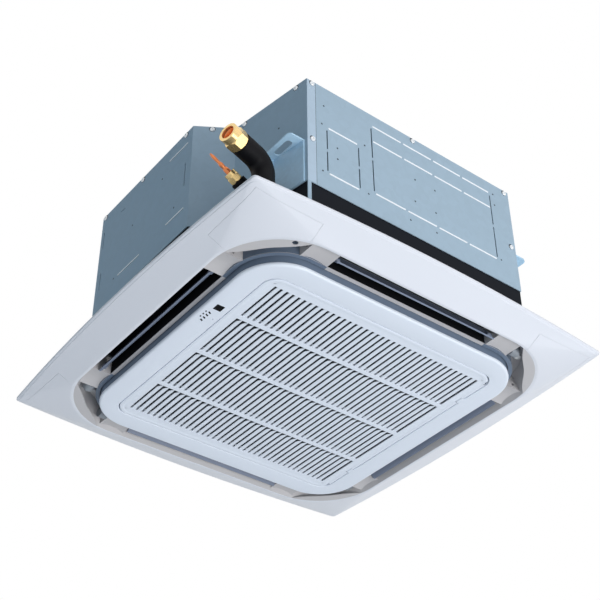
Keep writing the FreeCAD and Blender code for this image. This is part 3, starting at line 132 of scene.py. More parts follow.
@dataclass(frozen=True)
class Finish:
    """One real material and how its surface was made.

    The sizes of the grain and of the broad patches and the grain's depth are in millimetres. shift is the
    share by which the colour moves to either side, and rough_shift is how far the roughness does.
    """

    name: str
    colour: str
    roughness: float
    grain: Grain
    grain_mm: float
    depth_mm: float
    shift: float = 0.04
    metallic: float = 0.0
    ior: float = 1.5
    rough_shift: float = 0.06
    patch_mm: float = 90.0

    def pattern(self, tree: bpy.types.NodeTree, place: bpy.types.NodeSocket) -> bpy.types.NodeSocket:
        """Add the grain's texture.

        Args:
            tree: The material's tree.
            place: Object coordinates in metres.

        Returns:
            Socket with the grain's height from 0 to 1.
        """
        scale = 1.0 / (self.grain_mm * MM)
        if self.grain is Grain.SPANGLE:
            cells = add(tree, "ShaderNodeTexVoronoi", {"Vector": place, "Scale": scale, "Randomness": 1.0})
            return add(tree, "ShaderNodeSeparateColor", {"Color": cells.outputs["Color"]}).outputs[0]
        if self.grain is Grain.BEADS:
            cells = add(tree, "ShaderNodeTexVoronoi", {"Vector": place, "Scale": scale}, feature="SMOOTH_F1")
            return cells.outputs["Distance"]
        if self.grain in (Grain.WOVEN, Grain.FINS):
            # At half the scale the node draws a band every 0.63 grain sizes.
            wave = {"Vector": place, "Scale": scale / 2, "Distortion": 0.0}
            first = add(tree, "ShaderNodeTexWave", wave, bands_direction="X").outputs["Fac"]
            if self.grain is Grain.FINS:
                return first
            second = add(tree, "ShaderNodeTexWave", wave, bands_direction="Y").outputs["Fac"]
            return add(tree, "ShaderNodeMath", {0: first, 1: second}, operation="MAXIMUM").outputs[0]
        if self.grain is Grain.TURNED:
            place = add(tree, "ShaderNodeMapping", {"Vector": place, "Scale": TURNED_STRETCH}).outputs[0]
        noise = {"Vector": place, "Scale": scale, "Detail": 3.0, "Roughness": 0.55}
        return add(tree, "ShaderNodeTexNoise", noise).outputs["Fac"]

    def make(self) -> bpy.types.Material:
        """Build the material at the first call.

        Returns:
            The material, the same one at every call.
        """
        found = bpy.data.materials.get(self.name)
        if found:
            return found
        material = bpy.data.materials.new(self.name)
        material.use_nodes = True
        tree = material.node_tree
        shader = tree.nodes["Principled BSDF"]
        place = add(tree, "ShaderNodeTexCoord").outputs["Object"]
        grain = self.pattern(tree, place)
        broad = {"Vector": place, "Scale": 1.0 / (self.patch_mm * MM), "Detail": 2.0}
        patch = add(tree, "ShaderNodeTexNoise", broad).outputs["Fac"]
        both = add(tree, "ShaderNodeMix", {"Factor": 0.5, "A": grain, "B": patch}).outputs["Result"]
        dark = linear(self.colour, 1 - self.shift)
        light = linear(self.colour, 1 + self.shift)
        tones = {"Factor": both, MIX_FIRST: dark, MIX_SECOND: light}
        tone = add(tree, "ShaderNodeMix", tones, data_type="RGBA")
        smooth, rough = self.roughness - self.rough_shift, self.roughness + self.rough_shift
        gloss = add(tree, "ShaderNodeMapRange", {"Value": both, "To Min": smooth, "To Max": rough})
        relief = {"Height": grain, "Strength": 0.5, "Distance": self.depth_mm * MM}
        bump = add(tree, "ShaderNodeBump", relief)
        tree.links.new(tone.outputs[MIX_RESULT], shader.inputs["Base Color"])
        tree.links.new(gloss.outputs[0], shader.inputs["Roughness"])
        tree.links.new(bump.outputs[0], shader.inputs["Normal"])
        shader.inputs["Metallic"].default_value = self.metallic
        if not self.metallic:
            shader.inputs["IOR"].default_value = self.ior
        return material


# The grain that spark erosion leaves on a moulding is about 0.1 mm wide. It is too fine to show, so all
# moulded finishes draw it about ten times as coarse or more.

# Moulded ABS panel: even, slightly cold white with a soft sheen.
PANEL_WHITE = Finish("moulded_abs_panel", "#DCDEE5", 0.34, Grain.MOULDED, 1.2, 0.02, 0.012, patch_mm=160.0)
# Moulded ABS frame: the panel's soft sheen on a lighter, bluer white.
FRAME_WHITE = Finish("moulded_abs_frame", "#DFE5EF", 0.36, Grain.MOULDED, 1.2, 0.02, 0.012, patch_mm=140.0)
# Moulded polystyrene: warm light grey, duller than the panel.
RING_GREY = Finish("moulded_polystyrene_ring", "#BFBCBD", 0.52, Grain.MOULDED, 1.5, 0.03, 0.025)
# Moulded ABS in slate grey, its own colour darkened as painted shade: a dull band that looks shaded beside
# the white.
SLATE_SHADE_GREY = Finish("moulded_abs_skirt", "#687689", 0.5, Grain.MOULDED, 1.5, 0.02, 0.03)
# Moulded ABS in blue grey: smooth blades with a faint highlight.
LOUVRE_GREY = Finish("moulded_abs_louvre", "#747E92", 0.42, Grain.MOULDED, 1.5, 0.02, 0.03)
# Tinted acrylic: almost black, with so little reflection that it reads as a dark opening.
WINDOW_BLACK = Finish(
    "tinted_acrylic_window", "#07080C", 0.4, Grain.MOULDED, 3.0, 0.005, 0.1, ior=1.15, rough_shift=0.02,
)
# Smoked lens plastic: small bars that stay dark, since the lights are off.
LIGHT_LENS = Finish(
    "smoked_lens", "#0A0D12", 0.4, Grain.MOULDED, 2.0, 0.005, 0.08, ior=1.15, rough_shift=0.04,
)
# Hot-dip galvanised sheet: blue-grey zinc whose crystals differ a little in tone and gloss.
GALVANISED = Finish(
    "galvanised_sheet", "#A5B9C8", 0.55, Grain.SPANGLE, 9.0, 0.004, 0.045, ior=1.15, rough_shift=0.08,
)
# Folded lap of the same sheet: glossier than the wall under it, and paler as a painted highlight.
LAP_SHEET_HIGHLIGHT = Finish(
    "galvanised_lap", "#B2C4D4", 0.46, Grain.SPANGLE, 9.0, 0.004, 0.04, ior=1.25, rough_shift=0.08,
)
# Zinc plated bracket: bright cold blue with small crystals and a broad highlight.
BRACKET_ZINC = Finish(
    "zinc_plated_bracket", "#B4D4EA", 0.36, Grain.SPANGLE, 5.0, 0.004, 0.07, ior=1.4, rough_shift=0.1,
)
# Zinc plated screw: a nearly white head with a small sharp highlight.
SCREW_ZINC = Finish("zinc_plated_screw", "#F2F4F6", 0.26, Grain.TURNED, 1.0, 0.01, 0.05, 0.4)
# Zinc lip with a painted highlight: a nearly white edge, paler and smoother than the sheet around it.
ZINC_LIP_HIGHLIGHT = Finish("sheared_zinc_edge", "#F3F7FB", 0.3, Grain.TURNED, 1.0, 0.005, 0.03, 0.2)
# Painted shadow in punched holes and round screw heads, and the dark seams by the laps: dull dark dots, rings
# and lines on the sheet.
SHADOW_AND_SEAM_DARK = Finish("punched_hole_shadow", "#242B34", 0.7, Grain.MOULDED, 1.0, 0.01, 0.1)
# Expanded polystyrene: black beads pressed together, dull with fine dimples between them.
FOAM_BLACK = Finish("expanded_foam_pan", "#15181F", 0.72, Grain.BEADS, 4.5, 0.12, 0.16, ior=1.2)
# Closed-cell foam: a duller black than the pan's, darkened further as painted shade, which makes the outlets
# look hollow.
SHADE_BLACK_LINING = Finish("closed_cell_lining", "#0E0F12", 0.82, Grain.BEADS, 2.5, 0.1, 0.12, ior=1.2)
# Nitrile foam: rubbery black with a weak, broad sheen.
SLEEVE_BLACK = Finish("nitrile_foam_sleeve", "#0A0A0E", 0.6, Grain.BEADS, 1.2, 0.05, 0.2, ior=1.25)
# Foam strip: soft and dull dark grey.
SEAL_GREY = Finish("foam_seal_strip", "#46484C", 0.85, Grain.BEADS, 2.0, 0.1, 0.1)
# Drawn copper: warm orange metal, streaked by the drawing.
COPPER = Finish("drawn_copper_tube", "#E48C5C", 0.3, Grain.TURNED, 2.5, 0.01, 0.12, 1.0, rough_shift=0.1)
# Turned brass: pale gold with a clear highlight on each facet.
BRASS = Finish("turned_brass", "#FFDA98", 0.24, Grain.TURNED, 1.5, 0.004, 0.05, 0.8)
# Stacked aluminium fins: fine lines, light and dark in turn.
FIN_ALUMINIUM = Finish("stacked_aluminium_fins", "#C6CACE", 0.4, Grain.FINS, 1.8, 0.4, 0.25, 0.9)
# Painted steel: plain grey, half glossy.
MOTOR_STEEL = Finish("painted_motor_case", "#868C93", 0.46, Grain.MOULDED, 2.0, 0.03, 0.05, 0.2)
# Glass-filled nylon: dark and dull, with a slightly rough skin.
FAN_PLASTIC = Finish("glass_filled_nylon", "#2A2E35", 0.58, Grain.MOULDED, 1.4, 0.04, 0.12)
# Moulded rubber: dull black.
RUBBER = Finish("moulded_rubber", "#1A1A1D", 0.7, Grain.MOULDED, 0.9, 0.03, 0.1)
# Solder mask on glass weave: green and half glossy. The weave is drawn coarse so that it shows.
CIRCUIT_GREEN = Finish("solder_mask_board", "#1D5738", 0.4, Grain.WOVEN, 3.0, 0.05, 0.25)
# Urea resin: a warm, hard white.
TERMINAL_WHITE = Finish("urea_terminal", "#E2E0D8", 0.48, Grain.MOULDED, 1.5, 0.03, 0.03)
# Turned acetal: a clean, slightly waxy white.
BUSH_WHITE = Finish("acetal_bush", "#E8E8E5", 0.4, Grain.TURNED, 0.8, 0.01, 0.03)
# Moulded polypropylene: dark grey ribs that hardly show behind the slots.
FILTER_GREY = Finish("polypropylene_filter_frame", "#2A3038", 0.55, Grain.MOULDED, 1.5, 0.03, 0.05)
# Woven net: dark threads, with darker gaps between them.
MESH_DARK = Finish("woven_filter_net", "#1B212A", 0.75, Grain.WOVEN, 1.6, 0.2, 0.45)
# Moulded pump case: plain, slightly grey white.
PUMP_WHITE = Finish("moulded_pump_case", "#D5D8DB", 0.48, Grain.MOULDED, 1.6, 0.03, 0.03)
# Rigid drain pipe: plain mid grey with a soft sheen.
DRAIN_GREY = Finish("rigid_drain_pipe", "#A6AAB0", 0.45, Grain.MOULDED, 1.6, 0.02, 0.03)
# Foam float: dull blue with fine beads.
FLOAT_BLUE = Finish("foam_float", "#3E6DA3", 0.6, Grain.BEADS, 2.0, 0.06, 0.06)
# Painted floor: pale and even, without a highlight.
FLOOR_WHITE = Finish("pale_floor", "#F2F3F5", 0.7, Grain.MOULDED, 4.0, 0.02, 0.01)

CAD_FINISHES = {
    PANEL_WHITE: ("panel_flange", "panel_corner_covers"),
    FRAME_WHITE: ("centre_frame", "intake_grille", "grille_catches"),
    RING_GREY: ("outlet_ring", "outlet_end_blocks"),
    LOUVRE_GREY: ("louvre_right", "louvre_rear", "louvre_left", "louvre_front"),
    WINDOW_BLACK: ("receiver_window",),
    LIGHT_LENS: ("indicator_lights",),
    GALVANISED: (
        "pipe_corner_wall", "right_wall", "rear_wall", "left_wall", "front_wall", "corner_walls", "top_plate",
        "coil_end_plates", "motor_plate", "control_box", "control_box_lid",
    ),
    BRACKET_ZINC: ("hanger_brackets",),
    SCREW_ZINC: ("panel_screws", "grille_hinge_pins", "fan_shaft", "fan_nut", "casing_screws"),
    FOAM_BLACK: ("drain_pan",),
    SHADE_BLACK_LINING: ("casing_lining",),
    SLEEVE_BLACK: ("gas_pipe_sleeve", "liquid_pipe_sleeve"),
    SEAL_GREY: ("panel_seal",),
    COPPER: ("gas_pipe", "liquid_pipe", "liquid_pipe_stub", "coil_return_bends", "coil_feeders"),
    BRASS: ("gas_flare_nut", "liquid_flare_nut"),
    FIN_ALUMINIUM: ("coil_fins",),
    MOTOR_STEEL: ("fan_motor", "louvre_motors"),
    FAN_PLASTIC: ("fan_impeller", "bellmouth"),
    RUBBER: ("motor_rubber_mounts", "drain_hose", "cable_grommet"),
    CIRCUIT_GREEN: ("display_board", "control_board"),
    TERMINAL_WHITE: ("terminal_block",),
    BUSH_WHITE: ("louvre_bushes",),
    FILTER_GREY: ("air_filter_frame",),
    MESH_DARK: ("air_filter_mesh",),
    PUMP_WHITE: ("drain_pump", "float_switch"),
    DRAIN_GREY: ("drain_spigot",),
    FLOAT_BLUE: ("float",),
}


def height(rise: float) -> float:
    """Z in the shared frame of a rise above the flange's lower outer edge."""
    return rise - HANGER_HEIGHT


def linked(name: str, data: bpy.types.ID) -> bpy.types.Object:
    """Put a new object into the scene.

    Args:
        name: Name of the object.
        data: Its mesh, camera or light.

    Returns:
        The object, at the origin.
    """
    piece = bpy.data.objects.new(name, data)
    bpy.context.scene.collection.objects.link(piece)
    return piece


def new_object(name: str, vertices: list[Point], faces: list[tuple], finish: Finish) -> bpy.types.Object:
    """Make a mesh object from points in millimetres.

    Args:
        name: Name of the piece.
        vertices: Points in millimetres.
        faces: Loops of point numbers.
        finish: The material it gets.

    Returns:
        The linked object, at the origin.
    """
    mesh = bpy.data.meshes.new(name)
    mesh.from_pydata([tuple(c * MM for c in v) for v in vertices], [], faces)
    mesh.validate()
    mesh.materials.append(finish.make())
    return linked(name, mesh)


def soften(piece: bpy.types.Object, angle: float = MOULDED_SHARP) -> None:
    """Shade a mesh smooth but keep edges sharper than an angle in degrees."""
    piece.data.shade_smooth()
    piece.data.set_sharp_from_angle(angle=math.radians(angle))


def outward(piece: bpy.types.Object) -> None:
    """Turn a closed mesh's faces outwards.

    Args:
        piece: The mesh that changes.
    """
    work = bmesh.new()
    work.from_mesh(piece.data)
    bmesh.ops.recalc_face_normals(work, faces=work.faces)
    work.to_mesh(piece.data)
    work.free()


def settle(piece: bpy.types.Object, slot: str, *nodes: str, body: str = UNIT) -> None:
    """Let a finished piece ride on its body and stand for CAD nodes.

    Args:
        piece: The finished mesh.
        slot: Not used.
        nodes: CAD nodes that it replaces.
        body: The body that carries it.
    """
    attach(piece, body)
    if nodes:
        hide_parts(*nodes)
    LOG.info("%s: %d faces on %s", piece.name, len(piece.data.polygons), body)


def around(quarter: np.ndarray) -> np.ndarray:
    """Turn a quarter of a plan into the whole of it.

    Args:
        quarter: Points of the side on -Y and of the corner that follows it.

    Returns:
        The points of the four turned copies, in order.
    """
    copies = []
    for angle in np.arange(4) * math.pi / 2:
        turn = np.array([[math.cos(angle), -math.sin(angle)], [math.sin(angle), math.cos(angle)]])
        copies.append(quarter @ turn.T)
    return np.vstack(copies)


def rounded_ring(half: float, radius: float) -> np.ndarray:
    """Plan of a square with round corners.

    Args:
        half: Half of the square's width.
        radius: Radius of its corners.

    Returns:
        Points of the plan, the same count for any size.
    """
    flat = half - radius
    side = np.linspace(-flat, flat, SIDE_STEPS, endpoint=False)
    turn = np.linspace(-math.pi / 2, 0.0, CORNER_STEPS, endpoint=False)
    return around(np.vstack([
        np.column_stack([side, np.full(SIDE_STEPS, -half)]),
        np.column_stack([flat + radius * np.cos(turn), -flat + radius * np.sin(turn)]),
    ]))


def bowed_ring(half: float, bow: float, cut: float) -> np.ndarray:
    """Plan of a square whose sides bow outwards.

    Args:
        half: Half of the width at the middle of the sides.
        bow: How far the corners lie inside that.
        cut: How far from its corner a side starts to round off.

    Returns:
        Points of the plan, matched one by one to those of rounded_ring.
    """
    corner = half - bow
    radius = (corner ** 2 + bow ** 2) / (2 * bow)
    end = corner - cut
    side = np.linspace(-end, end, SIDE_STEPS, endpoint=False)
    edge_y = -half + radius - np.sqrt(radius ** 2 - side ** 2)
    end_y = -half + radius - math.sqrt(radius ** 2 - end ** 2)
    t = np.linspace(0.0, 1.0, CORNER_STEPS, endpoint=False)[:, None]
    nose = (1 - t) ** 2 * np.array([end, end_y]) + 2 * t * (1 - t) * np.array([corner, -corner])
    nose = nose + t ** 2 * np.array([-end_y, -end])
    return around(np.vstack([np.column_stack([side, edge_y]), nose]))


def arc(centre: Flat, radius: float | np.ndarray, angles: np.ndarray) -> list[Flat]:
    """Points round a centre in a plane.

    Args:
        centre: Middle of the arc.
        radius: One radius for all points, or one for each.
        angles: Angle of each point in degrees.

    Returns:
        The points, in the order of their angles.
    """
    turn = np.radians(angles)
    return list(zip(centre[0] + radius * np.cos(turn), centre[1] + radius * np.sin(turn)))


def rectangle(across: Flat, up: Flat) -> list[Flat]:
    """Corners of a rectangle between two values each way."""
    return [(across[0], up[0]), (across[1], up[0]), (across[1], up[1]), (across[0], up[1])]


class Axis(Enum):
    """Directions that a straight bar can run in."""

    X = 0
    Y = 1
    Z = 2


def bar(profile: list[Flat], axis: Axis, ends: Flat) -> Section:
    """End sections of a straight bar.

    Args:
        profile: Points of its section, along the two other axes.
        axis: The direction that it runs in.
        ends: Where it starts and ends on that axis.

    Returns:
        The points of its first and of its last end.
    """
    k = axis.value
    return tuple([point[:k] + (end,) + point[k:] for point in profile] for end in ends)


def band_faces(low: int, high: int, count: int) -> list[tuple]:
    """Faces between two closed rings of points.

    Args:
        low: Number of the first ring's first point.
        high: Number of the second ring's first point.
        count: How many points each ring has.

    Returns:
        Loops of point numbers.
    """
    return [(low + i, high + i, high + (i + 1) % count, low + (i + 1) % count) for i in range(count)]


def tube(name: str, rings: list[list[Point]], finish: Finish) -> bpy.types.Object:
    """Skin a closed tube through rings of points, the last one joined to the first.

    Args:
        name: Name of the piece.
        rings: Points of each ring, the same count in each.
        finish: The material of the piece.

    Returns:
        The piece with its faces outwards.
    """
    count = len(rings[0])
    faces = []
    for k in range(len(rings)):
        faces += band_faces(k * count, (k + 1) % len(rings) * count, count)
    piece = new_object(name, [point for ring in rings for point in ring], faces, finish)
    outward(piece)
    return piece


def loft(name: str, rings: list[Ring], finish: Finish) -> bpy.types.Object:
    """Skin a closed tube through level plans.

    Args:
        name: Name of the piece.
        rings: Plan and height of each ring.
        finish: The material of the piece.

    Returns:
        The piece with its faces outwards.
    """
    return tube(name, [[(x, y, z) for x, y in plan] for plan, z in rings], finish)


def hoop(name: str, sides: tuple[np.ndarray, np.ndarray], rise: Flat, finish: Finish) -> bpy.types.Object:
    """Make a closed hoop with a rectangular section.

    Args:
        name: Name of the piece.
        sides: Plans of its two upright sides.
        rise: Heights of its lower and upper edge.
        finish: The material of the piece.

    Returns:
        The piece with its faces outwards.
    """
    first, second = sides
    low, high = rise
    return loft(name, [(first, low), (second, low), (second, high), (first, high)], finish)


def lathe(name: str, profile: list[Flat], origin: Vector, axis: Vector, finish: Finish) -> bpy.types.Object:
    """Turn a closed profile about an axis.

    Args:
        name: Name of the piece.
        profile: Radius and distance along the axis of each point.
        origin: Start of the axis.
        axis: Direction of the axis.
        finish: The material of the piece.

    Returns:
        The turned ring.
    """
    along = axis.normalized()
    side = along.orthogonal().normalized()
    other = along.cross(side)
    turns = [2 * math.pi * k / TURNED_STEPS for k in range(TURNED_STEPS)]
    spokes = [side * math.cos(a) + other * math.sin(a) for a in turns]
    rings = []
    for radius, reach in profile:
        middle = origin + along * reach
        rings.append([tuple(middle + spoke * radius) for spoke in spokes])
    piece = tube(name, rings, finish)
    soften(piece, TURNED_SHARP)
    return piece


def blocks(name: str, sections: list[Section], finish: Finish) -> bpy.types.Object:
    """Make solid bars from their sections.

    Args:
        name: Name of the piece.
        sections: For each bar, loops of points from its first end to its last, in the same order.
        finish: The material of the bars.

    Returns:
        The bars as one mesh.
    """
    vertices = []
    faces = []
    for loops in sections:
        start = len(vertices)
        count = len(loops[0])
        last = start + (len(loops) - 1) * count
        for loop in loops:
            vertices += loop
        for low in range(start, last, count):
            faces += band_faces(low, low + count, count)
        faces += [tuple(range(start, start + count)), tuple(reversed(range(last, last + count)))]
    piece = new_object(name, vertices, faces, finish)
    outward(piece)
    return piece


def bake_modifiers(piece: bpy.types.Object) -> None:
    """Turn a piece's modifiers into a plain mesh.

    Args:
        piece: The object that gets the new mesh.
    """
    bpy.context.view_layer.update()
    graph = bpy.context.evaluated_depsgraph_get()
    mesh = bpy.data.meshes.new_from_object(piece.evaluated_get(graph))
    old = piece.data
    piece.modifiers.clear()
    piece.data = mesh
    mesh.name = piece.name
    bpy.data.meshes.remove(old)


def cut_with(piece: bpy.types.Object, tool: bpy.types.Object, operation: str) -> None:
    """Cut a mesh with a tool mesh, which is removed afterwards.

    Args:
        piece: The mesh that changes.
        tool: The closed mesh that cuts.
        operation: "DIFFERENCE" or "INTERSECT".
    """
    tool.data.materials.clear()
    change = piece.modifiers.new("carve", "BOOLEAN")
    change.operation = operation
    change.solver = "EXACT"
    change.object = tool
    bake_modifiers(piece)
    bpy.data.objects.remove(tool)


def carve(piece: bpy.types.Object, boxes: list[Box], operation: str) -> None:
    """Cut boxes out of a mesh, or keep only what lies in them.

    Args:
        piece: The mesh that changes.
        boxes: Two opposite corners of each box.
        operation: "DIFFERENCE" or "INTERSECT".
    """
    sections = []
    for first, last in boxes:
        x, y, z = zip(first, last)
        sections.append(bar(rectangle(x, y), Axis.Z, z))
    cut_with(piece, blocks(piece.name + "_tool", sections, SHADOW_AND_SEAM_DARK), operation)


class Repeated(Enum):
    """Shapes that repeat, each with its tree's named input and that input's socket type."""

    SCREW_HEAD = ("Head Size", "NodeSocketFloat")
    PUNCHED_HOLE = ("Hole Size", "NodeSocketFloat")
    SLAT = ("Slat", "NodeSocketObject")

    def shape(self, tree: bpy.types.NodeTree, given: bpy.types.NodeSocket) -> bpy.types.NodeSocket:
        """Add one copy: a pan head with a cross recess, a shallow dark disc of painted shadow, or the slat
        that is given.

        Args:
            tree: The repeating tree.
            given: The named input: metres for each millimetre of a head or disc, or the slat's object.

        Returns:
            Socket with the copy's geometry.
        """
        if self is Repeated.SLAT:
            return add(tree, "GeometryNodeObjectInfo", {"Object": given}).outputs["Geometry"]
        if self is Repeated.PUNCHED_HOLE:
            solid = add(tree, "GeometryNodeMeshCylinder", {"Vertices": 14, "Radius": 1.5, "Depth": 0.16})
        else:
            pan = {"Vertices": 20, "Radius Top": 2.5, "Radius Bottom": 3.2, "Depth": 1.3}
            head = add(tree, "GeometryNodeMeshCone", pan).outputs[0]
            solid = add(tree, "GeometryNodeMeshBoolean", {"Mesh 1": head}, operation="DIFFERENCE")
            # The two bars of the cross recess reach 0.5 mm down into the head.
            length, width, depth = 3.4, 0.8, 1.4
            for size in ((length, width, depth), (width, length, depth)):
                cross = add(tree, "GeometryNodeMeshCube", {"Size": size}).outputs[0]
                lifted = {"Geometry": cross, "Translation": (0.0, 0.0, 1.5)}
                tree.links.new(add(tree, "GeometryNodeTransform", lifted).outputs[0], solid.inputs["Mesh 2"])
        scale = add(tree, "ShaderNodeCombineXYZ", {0: given, 1: given, 2: given}).outputs[0]
        return add(tree, "GeometryNodeTransform", {"Geometry": solid.outputs[0], "Scale": scale}).outputs[0]


def spread(
    name: str, places: list[Place], kind: Repeated, given: float | bpy.types.Object, finish: Finish,
) -> bpy.types.Object:
    """Set copies of one small shape on points with Geometry Nodes.

    Args:
        name: Name of the piece.
        places: Point in millimetres and outward direction of each copy.
        kind: The shape to copy.
        given: What the tree's named input is set to.
        finish: The material the copies get.

    Returns:
        The piece as a plain mesh.
    """
    piece = new_object(name, [point for point, _ in places], [], finish)
    facing = piece.data.attributes.new("facing", "FLOAT_VECTOR", "POINT")
    for k, (_, out) in enumerate(places):
        facing.data[k].vector = out
    label, socket_type = kind.value
    tree = bpy.data.node_groups.new(name + "_tree", "GeometryNodeTree")
    tree.interface.new_socket("Geometry", in_out="INPUT", socket_type="NodeSocketGeometry")
    taken = tree.interface.new_socket(label, in_out="INPUT", socket_type=socket_type)
    tree.interface.new_socket("Geometry", in_out="OUTPUT", socket_type="NodeSocketGeometry")
    source = add(tree, "NodeGroupInput")
    named = add(tree, "GeometryNodeInputNamedAttribute", {"Name": "facing"}, data_type="FLOAT_VECTOR")
    turn = add(tree, "FunctionNodeAlignRotationToVector", {"Vector": named.outputs[0]}, axis="Z")
    points = add(tree, "GeometryNodeMeshToPoints", {"Mesh": source.outputs[0]})
    copies = add(tree, "GeometryNodeInstanceOnPoints", {
        "Points": points.outputs[0],
        "Instance": kind.shape(tree, source.outputs[label]),
        "Rotation": turn.outputs[0],
    })
    plain = add(tree, "GeometryNodeRealizeInstances", {"Geometry": copies.outputs[0]})
    dressed = add(tree, "GeometryNodeSetMaterial", {"Geometry": plain.outputs[0], "Material": finish.make()})
    add(tree, "NodeGroupOutput", {0: dressed.outputs[0]})
    change = piece.modifiers.new("spread", "NODES")
    change.node_group = tree
    change[taken.identifier] = given
    bake_modifiers(piece)
    return piece


def joined(name: str, pieces: list[bpy.types.Object]) -> bpy.types.Object:
    """Join meshes of one material into a new piece.

    Args:
        name: Name of the new piece.
        pieces: Meshes to join, which are removed afterwards.

    Returns:
        The new piece with its faces outwards.
    """
    work = bmesh.new()
    for piece in pieces:
        work.from_mesh(piece.data)
    mesh = bpy.data.meshes.new(name)
    work.to_mesh(mesh)
    work.free()
    mesh.materials.append(pieces[0].data.materials[0])
    for piece in pieces:
        bpy.data.objects.remove(piece)
    result = linked(name, mesh)
    outward(result)
    return result


@dataclass
class FacePanel:
    """The dished flange and its four loose corner covers.

    The points of its section are shares of the way from the opening to the outer edge, with a rise: above
    the lip in foot_points, above the outer edge in edge_points and above the rim's top in rim_points. The
    points of the lip are shares of its reach, with a rise.
    """

    width: float = 650.0
    bow: float = 12.2
    corner_cut: float = 5.0
    opening: float = 558.0
    opening_radius: float = 113.0
    drop: float = 20.0
    rim: float = 5.0
    land: float = 8.0
    skin: float = 3.0
    cover_start: float = 196.0
    cover_margin: float = 11.0
    seam: float = 0.3
    lip_reach: float = 3.3
    lip_rise: float = 0.95
    lip_points: tuple = ((0.97, 0.68), (0.82, 0.45))
    foot_points: tuple = ((0.018, 0.45), (0.036, 0.72))
    slope_shares: tuple = (0.08, 0.2, 0.35, 0.5, 0.65, 0.8, 0.9, 0.93)
    step_shares: tuple = (0.937, 0.98)
    step_rise: float = 0.7
    edge_points: tuple = ((0.995, 0.75), (1.0, 1.2))
    rim_points: tuple = ((1.0, -0.9), (0.992, -0.1), (0.98, 0.0))

    def section(self) -> list[Flat]:
        """Section of the flange from its lip outwards and over the rim.

        Returns:
            Share of the way outwards and rise above the lip of each point.
        """
        top = self.drop + self.rim
        points = list(self.foot_points)
        points += [(t, self.drop * t) for t in self.slope_shares]
        points += [(t, self.drop * t + self.step_rise) for t in self.step_shares]
        points += [(t, self.drop + rise) for t, rise in self.edge_points]
        points += [(t, top + rise) for t, rise in self.rim_points]
        points.append((1.0 - 2 * self.land / (self.width - self.opening), top))
        return points

    def shell(self, name: str) -> bpy.types.Object:
        """Build the whole flange with a rounded lip and rim.

        Args:
            name: Name of the piece.

        Returns:
            The flange in one with its corners.
        """
        half = self.opening / 2
        inner = rounded_ring(half, self.opening_radius)
        outer = bowed_ring(self.width / 2, self.bow, self.corner_cut)
        low = height(-self.drop)
        rings = [(inner, low + self.skin), (inner, low + self.lip_rise)]
        for share, rise in ((1.0, self.lip_rise), *self.lip_points):
            step = self.lip_reach * share
            rings.append((rounded_ring(half - step, self.opening_radius - step), low + rise))
        rings += [(inner * (1 - t) + outer * t, low + rise) for t, rise in self.section()]
        return loft(name, rings, PANEL_WHITE)

    def zones(self, gap: float) -> list[Box]:
        """Boxes over the corner covers.

        Args:
            gap: How much smaller than the covers' places they are on each side.

        Returns:
            Two opposite corners of each box.
        """
        start = self.cover_start + gap
        end = self.width / 2 - self.bow - self.cover_margin - gap
        low = height(-self.drop - self.skin)
        high = height(self.rim + self.skin)
        signs = ((1, 1), (1, -1), (-1, 1), (-1, -1))
        return [((sx * start, sy * start, low), (sx * end, sy * end, high)) for sx, sy in signs]

    def build(self) -> None:
        """Make the flange and its corner covers."""
        flange = self.shell("flange")
        carve(flange, self.zones(0.0), "DIFFERENCE")
        soften(flange)
        settle(flange, "panel_white", "panel_flange")
        covers = self.shell("corner_covers")
        carve(covers, self.zones(self.seam), "INTERSECT")
        soften(covers)
        settle(covers, "panel_white", "panel_corner_covers")


